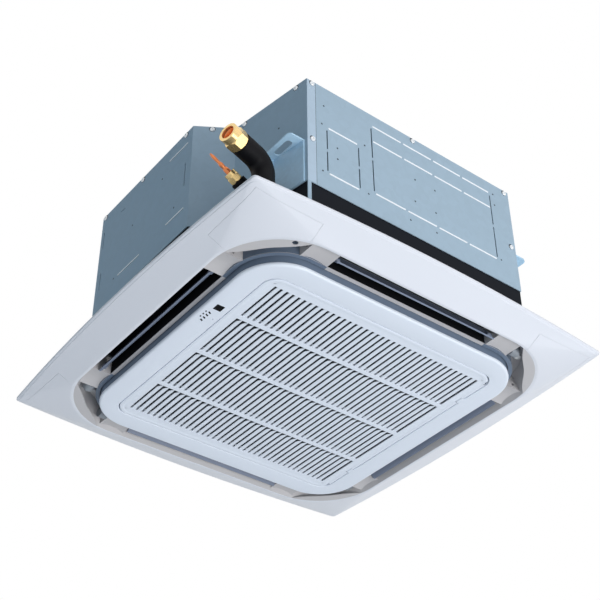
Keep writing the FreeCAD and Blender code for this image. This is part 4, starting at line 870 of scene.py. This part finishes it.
@dataclass
class CentreFrame:
    """The frame round the intake grille, with soft edges, a skirt, hinge lugs and lights.

    A row of lights is the place of its first bar, the count of bars and their share of the slant.
    """

    width: float = 473.0
    radius: float = 69.0
    opening: float = 405.2
    opening_radius: float = 23.0
    drop: float = 30.0
    top: float = 10.0
    skin: float = 3.0
    edge: float = 3.6
    edge_steps: int = 8
    lip: float = 5.5
    tuck: float = 0.9
    inner_edge: float = 1.6
    inner_steps: int = 5
    curb: float = 8.0
    skirt_overlap: float = 0.1
    lug_spacing: float = 260.0
    lug_width: float = 12.0
    lug_radius: float = 2.5
    lug_steps: int = 13
    lug_gap: float = 0.6
    lug_root: float = 1.0
    lug_lift: float = 0.2
    window_room: Point = (0.2, 0.2, 3.0)
    pin_hole: Flat = (74.8, -210.4)
    pin_half: float = 1.1
    pin_rise: Flat = (-3.0, 6.0)
    light_pitch: float = 6.7
    light_half: float = 1.4
    light_slant: Flat = (-1.1, 2.2)
    light_rows: tuple = ((64.6, -222.2, 4, 1.0), (71.2, -228.0, 3, 0.5))
    light_room: float = 0.1
    light_sink: float = 0.1
    light_cut: float = 2.0

    def outer(self, inset: float) -> np.ndarray:
        """Plan of the outer side moved inwards."""
        return rounded_ring(self.width / 2 - inset, self.radius - inset)

    def inner(self, out: float) -> np.ndarray:
        """Plan of the opening moved outwards."""
        return rounded_ring(self.opening / 2 + out, self.opening_radius + out)

    def rings(self) -> list[Ring]:
        """Profile of the frame's face from its rim, round the front and back.

        Returns:
            Plan and height of each ring.
        """
        face = height(-self.drop)
        high = face + self.lip
        rings = [(self.outer(self.tuck / 2), high), (self.outer(0.0), high - self.tuck)]
        for angle in np.radians(np.linspace(0, 90, self.edge_steps)):
            inset = self.edge * (1 - math.cos(angle))
            rings.append((self.outer(inset), face + self.edge * (1 - math.sin(angle))))
        for angle in np.radians(np.linspace(90, 0, self.inner_steps)):
            out = self.inner_edge * (1 - math.cos(angle))
            rings.append((self.inner(out), face + self.inner_edge * (1 - math.sin(angle))))
        rings.append((self.inner(0.0), face + self.curb))
        rings.append((self.inner(self.skin), face + self.curb))
        rings.append((self.inner(self.skin), face + self.skin))
        rings.append((self.outer(2 * self.skin), face + self.skin))
        rings.append((self.outer(2 * self.skin), high))
        return rings

    def windows(self) -> list[Box]:
        """Boxes of the holes for the receiver's window and the pin.

        Returns:
            Two opposite corners of each box.
        """
        low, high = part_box("receiver_window")
        room = Vector(self.window_room)
        x, y = self.pin_hole
        half = self.pin_half
        bottom, top = (height(rise - self.drop) for rise in self.pin_rise)
        pin = ((x - half, y - half, bottom), (x + half, y + half, top))
        return [(tuple(low / MM - room), tuple(high / MM + room)), pin]

    def lights(self, name: str, grow: float, low: float, high: float) -> bpy.types.Object:
        """Slanted bars of the lights, or the tool that cuts their holes.

        Args:
            name: Name of the piece.
            grow: How much wider than the lights the bars are on each side.
            low: Height of their lower ends above the frame's face.
            high: Height of their upper ends above the face.

        Returns:
            The bars as one mesh.
        """
        face = height(-self.drop)
        half = Vector((self.light_half + grow, 0.0))
        sections = []
        for x, y, count, share in self.light_rows:
            lean = Vector(self.light_slant) * share
            lean = lean * (1 + grow / lean.length)
            for k in range(count):
                middle = Vector((x + self.light_pitch * k, y))
                lower, upper = middle - lean, middle + lean
                plan = [tuple(p) for p in (lower - half, lower + half, upper + half, upper - half)]
                sections.append(bar(plan, Axis.Z, (face + low, face + high)))
        return blocks(name, sections, LIGHT_LENS)

    def lugs(self) -> bpy.types.Object:
        """The two hinge lugs on the frame's rear edge.

        Returns:
            Both lugs as one mesh.
        """
        face = height(-self.drop)
        half = self.opening / 2
        centre = (half - self.lug_gap - self.lug_radius, face + self.lug_radius)
        profile = arc(centre, self.lug_radius, np.linspace(90, 270, self.lug_steps))
        root = half + self.lug_root
        profile += [(root, face + self.lug_lift), (root, face + 2 * self.lug_radius)]
        sections = []
        for side in (1, -1):
            x = side * self.lug_spacing / 2
            sections.append(bar(profile, Axis.X, (x - self.lug_width / 2, x + self.lug_width / 2)))
        piece = blocks("hinge_lugs", sections, FRAME_WHITE)
        soften(piece)
        return piece

    def build(self) -> None:
        """Make the frame, its skirt, its lugs and its lights."""
        piece = loft("grille_frame", self.rings(), FRAME_WHITE)
        carve(piece, self.windows(), "DIFFERENCE")
        tool = self.lights("light_tool", self.light_room, -self.light_cut, 2 * self.skin)
        cut_with(piece, tool, "DIFFERENCE")
        soften(piece)
        settle(piece, "frame_white", "centre_frame")
        # The skirt's slate colour is partly painted shade under the frame's edge.
        sides = (self.outer(self.tuck), self.outer(self.skin))
        rise = (height(-self.drop) + self.lip - self.skirt_overlap, height(self.top))
        skirt = hoop("frame_skirt", sides, rise, SLATE_SHADE_GREY)
        soften(skirt)
        settle(skirt, "frame_white")
        settle(self.lugs(), "frame_white")
        settle(self.lights("light_bars", 0.0, self.light_sink, self.skin), "light_lens", "indicator_lights")


@dataclass
class IntakeGrille:
    """The hinged grille: a soft-edged border, slats with flared ends, ribs and hinge barrel.

    A step of the border's edge is an inset with a rise above its face. A point of the flare's bend is a
    share of its length back from the slat's end, with a share of its width.
    """

    half: float = 202.0
    radius: float = 25.0
    face: float = -30.0
    recess: float = 0.7
    slat_skin: float = 1.4
    rim_height: float = 7.0
    edge_steps: tuple = ((0.0, 0.6), (0.2, 0.2), (0.6, 0.0), (4.5, 0.0))
    recess_insets: tuple = (5.3, 6.2, 7.0)
    recess_round: float = 0.1
    back_insets: Flat = (5.0, 4.0)
    field_half: float = 189.5
    field_radius: float = 4.0
    slot_half: float = 184.0
    pitch: float = 9.9
    slot: float = 3.8
    slot_count: int = 38
    rib: float = 8.0
    rib_pitch: float = 100.0
    web_half: float = 1.5
    web_height: float = 9.6
    field_gap: float = 0.01
    flare: float = 5.2
    end_flare: float = 1.0
    flare_length: float = 10.0
    flare_bend: tuple = ((1.0, 0.0), (0.7, 0.1), (0.46, 0.4), (0.28, 0.74), (0.12, 0.93), (0.0, 1.0))
    lean: float = 0.8
    chamfer: float = 0.5
    edge_skin: float = 0.05
    hinge_radius: float = 2.5
    hinge_step: float = 18.0
    lug: float = 130.0
    lug_room: float = 6.9
    barrel: float = 182.0
    lug_cut: float = 3.4
    end_cut: float = 2.8
    cut_overlap: float = 1.0
    cut_rise: Flat = (-5.0, 20.0)
    beyond: float = 210.0

    def border(self) -> bpy.types.Object:
        """Frame round the slats with a shallow step down to them, cut free for the hinge.

        Returns:
            The border.
        """
        face = height(self.face)
        low = face + self.recess
        back = low + self.slat_skin
        rises = (self.recess_round, self.recess - self.recess_round, self.recess)
        steps = [(0.0, self.rim_height), *self.edge_steps, *zip(self.recess_insets, rises)]
        rings = [(rounded_ring(self.half - d, self.radius - d), face + rise) for d, rise in steps]
        rim = rounded_ring(self.field_half, self.field_radius)
        rings += [(rim, low), (rim, back)]
        for inset, z in zip(self.back_insets, (back, face + self.rim_height)):
            rings.append((rounded_ring(self.half - inset, self.radius - inset), z))
        piece = loft("grille_border", rings, FRAME_WHITE)
        axis = self.half - self.hinge_radius
        bottom, top = (face + rise for rise in self.cut_rise)
        boxes = [((-self.beyond, axis, bottom), (self.beyond, self.beyond, top))]
        cuts = (
            (self.lug - self.lug_room, self.lug + self.lug_room, self.lug_cut),
            (self.barrel, self.beyond, self.end_cut),
        )
        for side in (1, -1):
            for near, far, depth in cuts:
                corner = (side * near, axis - depth, bottom)
                boxes.append((corner, (side * far, axis + self.cut_overlap, top)))
        for box in boxes:
            carve(piece, [box], "DIFFERENCE")
        soften(piece)
        return piece

    def slat(self, length: float, flare: float) -> bpy.types.Object:
        """One leaning slat from x = 0 whose right-hand end is rounded off into a flare.

        Args:
            length: Length of the slat.
            flare: How much narrower the slat is at that end.

        Returns:
            The slat that copies are made of.
        """
        wide = self.pitch - self.slot
        c = self.chamfer
        bend = [(length - back * self.flare_length, out * flare) for back, out in self.flare_bend]
        outline = [(0.0, 0.0)] + bend + [(length, wide), (0.0, wide)]
        inner = [(0.0, c)] + [(x, y + c) for x, y in bend] + [(length, wide - c), (0.0, wide - c)]
        low = height(self.face) + self.recess
        back = low + self.slat_skin
        front = [(x, y, low + self.lean * (1 - y / wide)) for x, y in inner]
        most = back - self.edge_skin
        edge = [(x, y, min(low + c + self.lean * (1 - y / wide), most)) for x, y in outline]
        rear = [(x, y, back) for x, y in outline]
        return blocks("slat", [(front, edge, rear)], FRAME_WHITE)

    def slats(self) -> bpy.types.Object:
        """All slats, set out bank by bank with Geometry Nodes.

        Returns:
            The slats as one mesh.
        """
        ribs = (-self.rib_pitch, 0.0, self.rib_pitch)
        starts = [-self.slot_half] + [r + self.rib / 2 for r in ribs]
        ends = [r - self.rib / 2 for r in ribs] + [self.slot_half]
        first = -(self.slot_count - 1) * self.pitch / 2 + self.slot / 2
        banks = []
        for start, end in zip(starts, ends):
            template = self.slat(end - start, self.flare if end < self.slot_half else self.end_flare)
            places = [((start, first + self.pitch * k, 0.0), UPWARDS) for k in range(self.slot_count - 1)]
            banks.append(spread("slat_bank", places, Repeated.SLAT, template, FRAME_WHITE))
            bpy.data.objects.remove(template)
        return joined("grille_slats", banks)

    def bars(self) -> bpy.types.Object:
        """Ribs between the banks, margins at the field's sides and the hinge barrel.

        Returns:
            The bars as one mesh.
        """
        face = height(self.face)
        low = face + self.recess
        back = low + self.slat_skin
        margin = (self.field_half + self.slot_half) / 2
        edge = self.field_half - self.field_gap
        end = (self.slot_count - 1) * self.pitch / 2 + self.slot / 2
        ribs = [(x, end, self.rib / 2) for x in (-self.rib_pitch, 0.0, self.rib_pitch)]
        ribs += [(x, edge, (self.field_half - self.slot_half) / 2) for x in (-margin, margin)]
        sections = []
        for x, reach, half in ribs:
            for out, rise in ((half, (low, back)), (self.web_half, (back, face + self.web_height))):
                sections.append(bar(rectangle((x - out, x + out), rise), Axis.Y, (-reach, reach)))
        for across in ((-edge, -end), (end, edge)):
            sections.append(bar(rectangle(across, (low, back)), Axis.X, (-self.slot_half, self.slot_half)))
        centre = (self.half - self.hinge_radius, face + self.hinge_radius)
        profile = arc(centre, self.hinge_radius, np.arange(0, 360, self.hinge_step))
        near, far = self.lug - self.lug_room, self.lug + self.lug_room
        for ends in ((-self.barrel, -far), (-near, near), (far, self.barrel)):
            sections.append(bar(profile, Axis.X, ends))
        piece = blocks("grille_bars", sections, FRAME_WHITE)
        soften(piece)
        return piece

    def build(self) -> None:
        """Make the grille's pieces on its own body."""
        settle(self.border(), "frame_white", "intake_grille", body=GRILLE)
        settle(self.slats(), "frame_white", body=GRILLE)
        settle(self.bars(), "frame_white", body=GRILLE)


@dataclass
class Outlets:
    """What lines the four outlets: dark foam and slate skins on the inner rail, their darkness partly painted
    shade, and ledges in the corners.
    """

    rail: float = 242.8
    rail_radius: float = 75.3
    rail_width: float = 5.9
    rail_low: float = -14.0
    half_length: float = 143.4
    low: float = -13.4
    high: float = 9.8
    upper: float = -4.0
    wall_low: float = 275.7
    wall_lean: float = 17.0
    wall_foot: float = -19.0
    wall_top: float = 10.0
    lining: float = 0.25
    lining_gap: float = 0.25
    wall_gap: float = 0.05
    band_gap: float = 0.03
    band_out: float = 0.2
    under_gap: float = 0.05
    under_skin: float = 0.2
    cut_room: float = 1.0
    cut_reach: float = 10.0
    corner_centre: float = 166.0
    ledge_outer: float = 110.2
    ledge_span: float = 32.5
    ledge_steps: int = 41
    ledge_inner: float = 94.0
    ledge_tip: float = 0.2
    ledge_low: float = -19.45
    ledge_skin: float = 1.4
    hole_corner: float = -45.0
    hole_turn: float = 20.0
    hole_reach: float = 105.3
    hole_radius: float = 4.2
    hole_step: float = 15.0
    hole_room: float = 2.0

    def along_rail(self, out: float) -> np.ndarray:
        """Plan of the rail's outer side moved outwards."""
        return rounded_ring(self.rail + out, self.rail_radius + out)

    def lean(self, rise: float) -> float:
        """Distance from the middle of the leaning wall's inner face at a rise."""
        return self.wall_low - self.wall_lean * (rise - self.wall_foot) / (self.wall_top - self.wall_foot)

    def linings(self) -> bpy.types.Object:
        """Black foam, darkened as painted shade, on the inner rail and on the leaning wall's upper half.

        Returns:
            The linings of all four outlets as one mesh.
        """
        inner = self.rail + self.lining_gap
        near = rectangle((inner, inner + self.lining), (self.low, self.high))
        steps = ((self.upper, 0.0), (self.upper, self.lining), (self.high, self.lining), (self.high, 0.0))
        far = [(self.lean(rise) - self.wall_gap - d, rise) for rise, d in steps]
        ends = (-self.half_length, self.half_length)
        sections = []
        for turn in range(4):
            c, s = round(math.cos(turn * math.pi / 2)), round(math.sin(turn * math.pi / 2))
            for profile in (near, far):
                sections.append(tuple(
                    [(x * c - y * s, x * s + y * c, height(rise)) for x, rise in profile] for y in ends
                ))
        return blocks("outlet_linings", sections, SHADE_BLACK_LINING)

    def underside(self) -> bpy.types.Object:
        """Slate skin of painted shade under the rail's corners, from end block to end block.

        Returns:
            The skins of all four corners as one mesh.
        """
        high = height(self.rail_low - self.under_gap)
        low = high - self.under_skin
        sides = (self.along_rail(-self.rail_width), self.along_rail(self.band_out))
        piece = hoop("rail_underside", sides, (low, high), SLATE_SHADE_GREY)
        reach = self.rail + self.cut_reach
        bottom, top = low - self.cut_room, high + self.cut_room
        for x, y in ((reach, self.half_length), (self.half_length, reach)):
            carve(piece, [((-x, -y, bottom), (x, y, top))], "DIFFERENCE")
        soften(piece)
        return piece

    def ledges(self) -> bpy.types.Object:
        """Crescent ledges level with the flange's lip in the four corners, the pipes' corner with a hole.

        Returns:
            The ledges as one mesh.
        """
        angles = np.linspace(-self.ledge_span, self.ledge_span, self.ledge_steps)
        taper = np.abs(angles / self.ledge_span) ** 3
        inside = self.ledge_inner + (self.ledge_outer - self.ledge_tip - self.ledge_inner) * taper
        low, high = height(self.ledge_low), height(self.ledge_low + self.ledge_skin)
        corners = self.hole_corner + 90.0 * np.arange(4)
        centres = arc((0.0, 0.0), self.corner_centre * math.sqrt(2), corners)
        sections = []
        for corner, centre in zip(corners, centres):
            plan = arc(centre, inside, corner + angles)
            plan += arc(centre, self.ledge_outer, corner + angles[::-1])
            sections.append(bar(plan, Axis.Z, (low, high)))
        piece = blocks("corner_ledges", sections, RING_GREY)
        hole = arc(centres[0], self.hole_reach, [self.hole_corner + self.hole_turn])[0]
        rim = arc(hole, self.hole_radius, np.arange(0, 360, self.hole_step))
        drill = bar(rim, Axis.Z, (low - self.hole_room, high + self.hole_room))
        cut_with(piece, blocks("hole_tool", [drill], SHADOW_AND_SEAM_DARK), "DIFFERENCE")
        return piece

    def build(self) -> None:
        """Make the linings, the rail's skins and the ledges."""
        # The linings' deep black is partly painted shade inside the outlets.
        settle(self.linings(), "lining_black")
        # The slate band on the rail's outer side is painted shade on the groove's wall.
        sides = (self.along_rail(self.band_gap), self.along_rail(self.band_out))
        band = hoop("rail_band", sides, (height(self.low + self.band_out), height(self.high)), SLATE_SHADE_GREY)
        soften(band)
        settle(band, "ring_grey")
        settle(self.underside(), "ring_grey")
        settle(self.ledges(), "ring_grey")


class Wall(Enum):
    """Walls that carry punched holes and screws, with their outward direction."""

    RIGHT = (1.0, 0.0, 0.0)
    LEFT = (-1.0, 0.0, 0.0)
    FRONT = (0.0, -1.0, 0.0)
    REAR = (0.0, 1.0, 0.0)


@dataclass
class Casing:
    """Screw heads with painted shadows round them, punched pilot holes, and laps and sheared knock-out edges
    with painted highlights, of the sheet metal body.

    A hole is its place along the wall and its rise. A slit is its two ends and its rise, and on the right
    wall the count of pieces it is split into. A lip's points are distances off the sheet, with a rise.
    """

    half: float = 276.0
    wall_end: float = 200.0
    lap: float = 18.0
    top: float = 284.0
    band: float = 87.0
    screw_edge: float = 6.0
    screw_drop: float = 18.0
    front_end: float = 160.0
    pipe_end: float = 100.0
    recess_angle: float = 9.2
    recess_screws: Flat = (152.6, 255.3)
    recess_hole: Flat = (221.9, 221.1)
    notch: float = 134.0
    notch_screw: float = 0.45
    head_scale: float = 1.25
    head_out: float = 0.65
    # The dark disc set a little above and behind each screw head is its painted shadow.
    shadow_scale: float = 3.2
    shadow_out: float = 0.15
    shadow_up: float = 1.0
    bridge: float = 5.0
    strip: float = 15.0
    strip_start: float = 0.2
    strip_rise: float = 0.2
    strip_seam: float = 0.7
    seam_rise: float = 0.08
    strip_sink: float = 0.1
    strip_margin: float = 0.5
    lip: tuple = ((-0.3, 1.4), (0.9, 1.1), (0.15, -0.6), (-0.3, -0.6))
    slim_lip: tuple = ((-0.3, 1.3), (0.5, 1.1), (0.1, 0.1), (-0.3, 0.1))
    right_holes: tuple = (
        (-1, 199), (38, 199), (-4, 155), (36, 154), (-16, 113), (34, 115), (-147, 176), (-147, 155),
        (-174, 208), (-174, 118), (-96, 212), (-93, 120), (165, 262), (166, 240), (165, 130), (-170, 246),
    )
    front_holes: tuple = ((-104, 124), (20, 236), (-60, 200), (60, 150))
    right_slits: tuple = (
        (-165, -108, 118, 1), (-165, -108, 205, 1),
        (-82, 157, 127, 4), (-82, 157, 229, 4), (-82, 157, 260, 4),
    )
    front_slits: tuple = ((38, 88, 258), (40, 87, 130), (-92, -31, 122))

    def recess(self, x: float, rise: float) -> Place:
        """Find a place on the slanted recess wall.

        Args:
            x: How far to the right it is.
            rise: How far up it is.

        Returns:
            The point and the wall's outward direction.
        """
        slope = math.tan(math.radians(self.recess_angle))
        out = Vector((slope, -1.0, 0.0)).normalized()
        return (x, -(self.wall_end + (self.half - x) * slope), height(rise)), tuple(out)

    def screws(self) -> list[Place]:
        """Set out the screws along the casing's edges.

        Returns:
            Point on the sheet and outward direction of each.
        """
        high = height(self.top - self.screw_edge)
        middle = height((self.band + self.top) / 2 - self.screw_drop)
        side = self.wall_end - self.lap / 2
        places = []
        for wall in (Wall.RIGHT, Wall.LEFT):
            x = wall.value[0] * self.half
            places += [((x, y, high), wall.value) for y in (-side, 0.0, side)]
            places += [((x, y, middle), wall.value) for y in (side, -side)]
        front = self.pipe_end - self.lap
        ends = (-self.front_end + self.lap / 2, (front - self.front_end) / 2, front)
        for wall in (Wall.FRONT, Wall.REAR):
            places += [((x, wall.value[1] * self.half, high), wall.value) for x in ends]
        start = Vector((self.pipe_end, -self.half))
        end = Vector(self.recess(self.notch, 0.0)[0][:2])
        run = (end - start).normalized()
        spot = start.lerp(end, self.notch_screw)
        places.append(((spot.x, spot.y, high), (run.y, -run.x, 0.0)))
        return places + [self.recess(x, self.top - self.screw_edge) for x in self.recess_screws]

    def by_screws(self, out: float, up: float) -> list[Place]:
        """Places of the screws moved off the sheet and upwards."""
        return [(tuple(Vector(p) + Vector(o) * out + Vector(UPWARDS) * up), o) for p, o in self.screws()]

    def holes(self) -> list[Place]:
        """Set out the pilot holes.

        Returns:
            Point on the sheet and outward direction of each.
        """
        places = [((self.half, y, height(rise)), Wall.RIGHT.value) for y, rise in self.right_holes]
        places += [((x, -self.half, height(rise)), Wall.FRONT.value) for x, rise in self.front_holes]
        return places + [self.recess(*self.recess_hole)]

    def strips(self, start: float, end: float, rise: float) -> list[Section]:
        """End sections of upright strips on the right and left walls by the pipe corner.

        Args:
            start: Distance of the strip's outer edge from the wall's end.
            end: Distance of its inner edge.
            rise: How far it stands off the wall.

        Returns:
            The points of each strip's lower and upper end.
        """
        ends = (height(self.band + self.strip_margin), height(self.top - self.strip_margin))
        along = (start - self.wall_end, end - self.wall_end)
        sections = []
        for side in (1, -1):
            across = (side * (self.half - self.strip_sink), side * (self.half + rise))
            sections.append(bar(rectangle(across, along), Axis.Z, ends))
        return sections

    def lips(self) -> list[Section]:
        """End sections of the sheared lips over the level slits.

        Returns:
            The points of each lip's two ends.
        """
        sections = []
        for left, right, rise, pieces in self.right_slits:
            step = (right - left) / pieces
            profile = [(self.half + d, height(rise) + z) for d, z in self.lip]
            for k in range(pieces):
                ends = (left + step * k + self.bridge / 2, left + step * (k + 1) - self.bridge / 2)
                sections.append(bar(profile, Axis.Y, ends))
        for left, right, rise in self.front_slits:
            profile = [(-self.half - d, height(rise) + z) for d, z in self.slim_lip]
            sections.append(bar(profile, Axis.X, (left, right)))
        return sections

    def build(self) -> None:
        """Make the screw heads and the painted shadows round them, the laps, the pilot holes and the lips."""
        places = self.by_screws(self.head_out, 0.0)
        heads = spread("casing_screw_heads", places, Repeated.SCREW_HEAD, self.head_scale * MM, SCREW_ZINC)
        soften(heads, TURNED_SHARP)
        settle(heads, "screw_zinc", "casing_screws")
        # Dark discs behind the heads, raised a little, are the heads' painted shadows.
        places = self.by_screws(self.shadow_out, self.shadow_up)
        shadows = spread("screw_seats", places, Repeated.PUNCHED_HOLE, self.shadow_scale * MM, SHADOW_AND_SEAM_DARK)
        settle(shadows, "galvanised")
        # The laps' paler sheet is a painted highlight along the corner.
        laps = self.strips(self.strip_start, self.strip, self.strip_rise)
        settle(blocks("corner_laps", laps, LAP_SHEET_HIGHLIGHT), "galvanised")
        seams = self.strips(self.strip, self.strip + self.strip_seam, self.seam_rise)
        settle(blocks("lap_seams", seams, SHADOW_AND_SEAM_DARK), "galvanised")
        holes = spread("pilot_holes", self.holes(), Repeated.PUNCHED_HOLE, MM, SHADOW_AND_SEAM_DARK)
        settle(holes, "galvanised")
        # The lips' nearly white zinc is a painted highlight along the level slits.
        settle(blocks("knock_out_lips", self.lips(), ZINC_LIP_HIGHLIGHT), "galvanised")


@dataclass
class Pipework:
    """Turned details of the gas pipe's flare nut.

    A point of the flare is its radius and its distance along the axis from the nut's mouth.
    """

    gas_corner: Point = (236.0, -244.479, -44.0)
    gas_reach: float = 73.5
    gas_slope: float = 3.0
    gas_turn: float = 14.0
    gas_lip: float = 12.6
    gas_bore: float = 10.1
    bead_out: float = 0.1
    bead_back: float = 1.0
    bead_half: float = 1.3
    bead_step: float = 30.0
    flare: tuple = ((9.9, -5.0), (9.9, -4.2), (6.6, -10.5), (6.6, -11.8), (7.4, -11.8))

    def build(self) -> None:
        """Make the gas nut's rounded lip and the flared copper inside it."""
        slope, side = math.radians(self.gas_slope), math.radians(self.gas_turn)
        axis = Vector((math.cos(slope) * math.sin(side), -math.cos(slope) * math.cos(side), math.sin(slope)))
        mouth = Vector(self.gas_corner) + axis * self.gas_reach
        middle = (self.gas_lip + self.gas_bore) / 2 + self.bead_out
        thick = (self.gas_lip - self.gas_bore) / 2
        turn = np.radians(np.arange(0, 360, self.bead_step))
        bead = [(middle + thick * math.cos(a), self.bead_half * math.sin(a) - self.bead_back) for a in turn]
        settle(lathe("gas_nut_lip", bead, mouth, axis, BRASS), "brass")
        settle(lathe("gas_flare", self.flare, mouth, axis, COPPER), "copper")


@dataclass
class Studio:
    """Pale floor, soft light, and the camera at the photograph's angle.

    Angles are in degrees, and floor_z and the key light's place and size are in metres.
    """

    azimuth: float = 52.29
    elevation: float = -37.77
    roll: float = -0.39
    eye: Point = (1244.67, -963.66, -1071.60 - HANGER_HEIGHT)
    focal_pixels: float = 1267.23
    image_pixels: float = 600.0
    sensor: float = 36.0
    floor_z: float = -2.6
    floor_half: float = 40000.0
    floor_lift: float = 0.6
    sky_colour: str = "#F6F8FB"
    sky_strength: float = 0.85
    sky_side: Point = (0.62, 0.78, 0.0)
    sky_blend: float = 0.6
    shade_colour: str = "#98CBE6"
    shade_strength: float = 0.3
    key_power: float = 86.0
    key_place: Point = (2.1, 0.5, -2.3)
    key_size: float = 2.2

    def place_camera(self) -> None:
        """Set the scene's camera."""
        a, e, r = (math.radians(v) for v in (self.azimuth, self.elevation, self.roll))
        back = Vector((math.sin(a) * math.cos(e), -math.cos(a) * math.cos(e), math.sin(e)))
        right = Vector((math.cos(a), math.sin(a), 0.0))
        up = back.cross(right)
        rolled = math.cos(r) * right + math.sin(r) * up
        up = -math.sin(r) * right + math.cos(r) * up
        data = bpy.data.cameras.new("photo_camera")
        data.sensor_width = self.sensor
        data.lens = self.focal_pixels / self.image_pixels * self.sensor
        camera = linked("photo_camera", data)
        turn = Matrix((rolled, up, back)).transposed().to_4x4()
        camera.matrix_world = Matrix.Translation(Vector(self.eye) * MM) @ turn
        bpy.context.scene.camera = camera

    def seen_rays(self, tree: bpy.types.NodeTree) -> bpy.types.NodeSocket:
        """Add a socket that is 1 for rays that show the background.

        Args:
            tree: The tree of the world or of a backdrop's material.

        Returns:
            The socket: 1 for camera, glossy and transmission rays, else 0.
        """
        path = add(tree, "ShaderNodeLightPath")
        seen = path.outputs["Is Camera Ray"]
        for kind in ("Is Glossy Ray", "Is Transmission Ray"):
            either = {0: seen, 1: path.outputs[kind]}
            seen = add(tree, "ShaderNodeMath", either, operation="MAXIMUM").outputs[0]
        return seen

    def light(self) -> None:
        """Soft sky, brighter on one side, with a white background, and one broad lamp from below."""
        world = bpy.data.worlds.new("studio_sky")
        world.use_nodes = True
        bpy.context.scene.world = world
        tree = world.node_tree
        tree.nodes.clear()
        way = add(tree, "ShaderNodeTexCoord").outputs["Generated"]
        facing = add(tree, "ShaderNodeVectorMath", {0: way, 1: self.sky_side}, operation="DOT_PRODUCT")
        blend = {"Value": facing.outputs["Value"], "From Min": -self.sky_blend, "From Max": self.sky_blend}
        share = add(tree, "ShaderNodeMapRange", blend).outputs[0]
        shade = linear(self.shade_colour, self.shade_strength)
        bright = linear(self.sky_colour, self.sky_strength)
        tints = {"Factor": share, MIX_FIRST: shade, MIX_SECOND: bright}
        tint = add(tree, "ShaderNodeMix", tints, data_type="RGBA")
        soft = add(tree, "ShaderNodeBackground", {"Color": tint.outputs[MIX_RESULT], "Strength": 1.0})
        white = add(tree, "ShaderNodeBackground", {"Color": WHITE, "Strength": 1.0})
        layers = {0: self.seen_rays(tree), 1: soft.outputs[0], 2: white.outputs[0]}
        both = add(tree, "ShaderNodeMixShader", layers)
        add(tree, "ShaderNodeOutputWorld", {"Surface": both.outputs[0]})
        data = bpy.data.lights.new("broad_key", "AREA")
        data.energy = self.key_power
        data.size = self.key_size
        lamp = linked("broad_key", data)
        place = Vector(self.key_place)
        lamp.matrix_world = Matrix.Translation(place) @ place.to_track_quat("Z", "Y").to_matrix().to_4x4()

    def floor(self) -> None:
        """Plain pale floor far below the hung unit, lifted towards white where it is seen."""
        span = (-self.floor_half, self.floor_half)
        corners = [(x, y, self.floor_z / MM) for x, y in rectangle(span, span)]
        piece = new_object("floor", corners, [(0, 1, 2, 3)], FLOOR_WHITE)
        tree = FLOOR_WHITE.make().node_tree
        lift = {0: self.seen_rays(tree), 1: self.floor_lift}
        share = add(tree, "ShaderNodeMath", lift, operation="MULTIPLY")
        white = add(tree, "ShaderNodeEmission", {"Color": WHITE, "Strength": 1.0})
        lit = tree.nodes["Principled BSDF"].outputs[0]
        both = add(tree, "ShaderNodeMixShader", {0: share.outputs[0], 1: lit, 2: white.outputs[0]})
        tree.links.new(both.outputs[0], tree.nodes["Material Output"].inputs["Surface"])

    def build(self) -> None:
        """Make camera, light and floor."""
        self.place_camera()
        self.light()
        self.floor()
        bpy.context.scene.view_settings.view_transform = "Standard"


def dress_cad_nodes() -> None:
    """Give every carried-over CAD node its own finish."""
    for finish, nodes in CAD_FINISHES.items():
        for name in nodes:
            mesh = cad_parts[name].data
            mesh.materials.clear()
            mesh.materials.append(finish.make())
            LOG.info("%s: %s", name, finish.name)


def main() -> None:
    """Build every piece in order."""
    logging.basicConfig(level=logging.INFO, format="%(message)s")
    dress_cad_nodes()
    for assembly in (FacePanel(), CentreFrame(), IntakeGrille(), Outlets(), Casing(), Pipework(), Studio()):
        assembly.build()


if __name__ == "__main__":
    main()
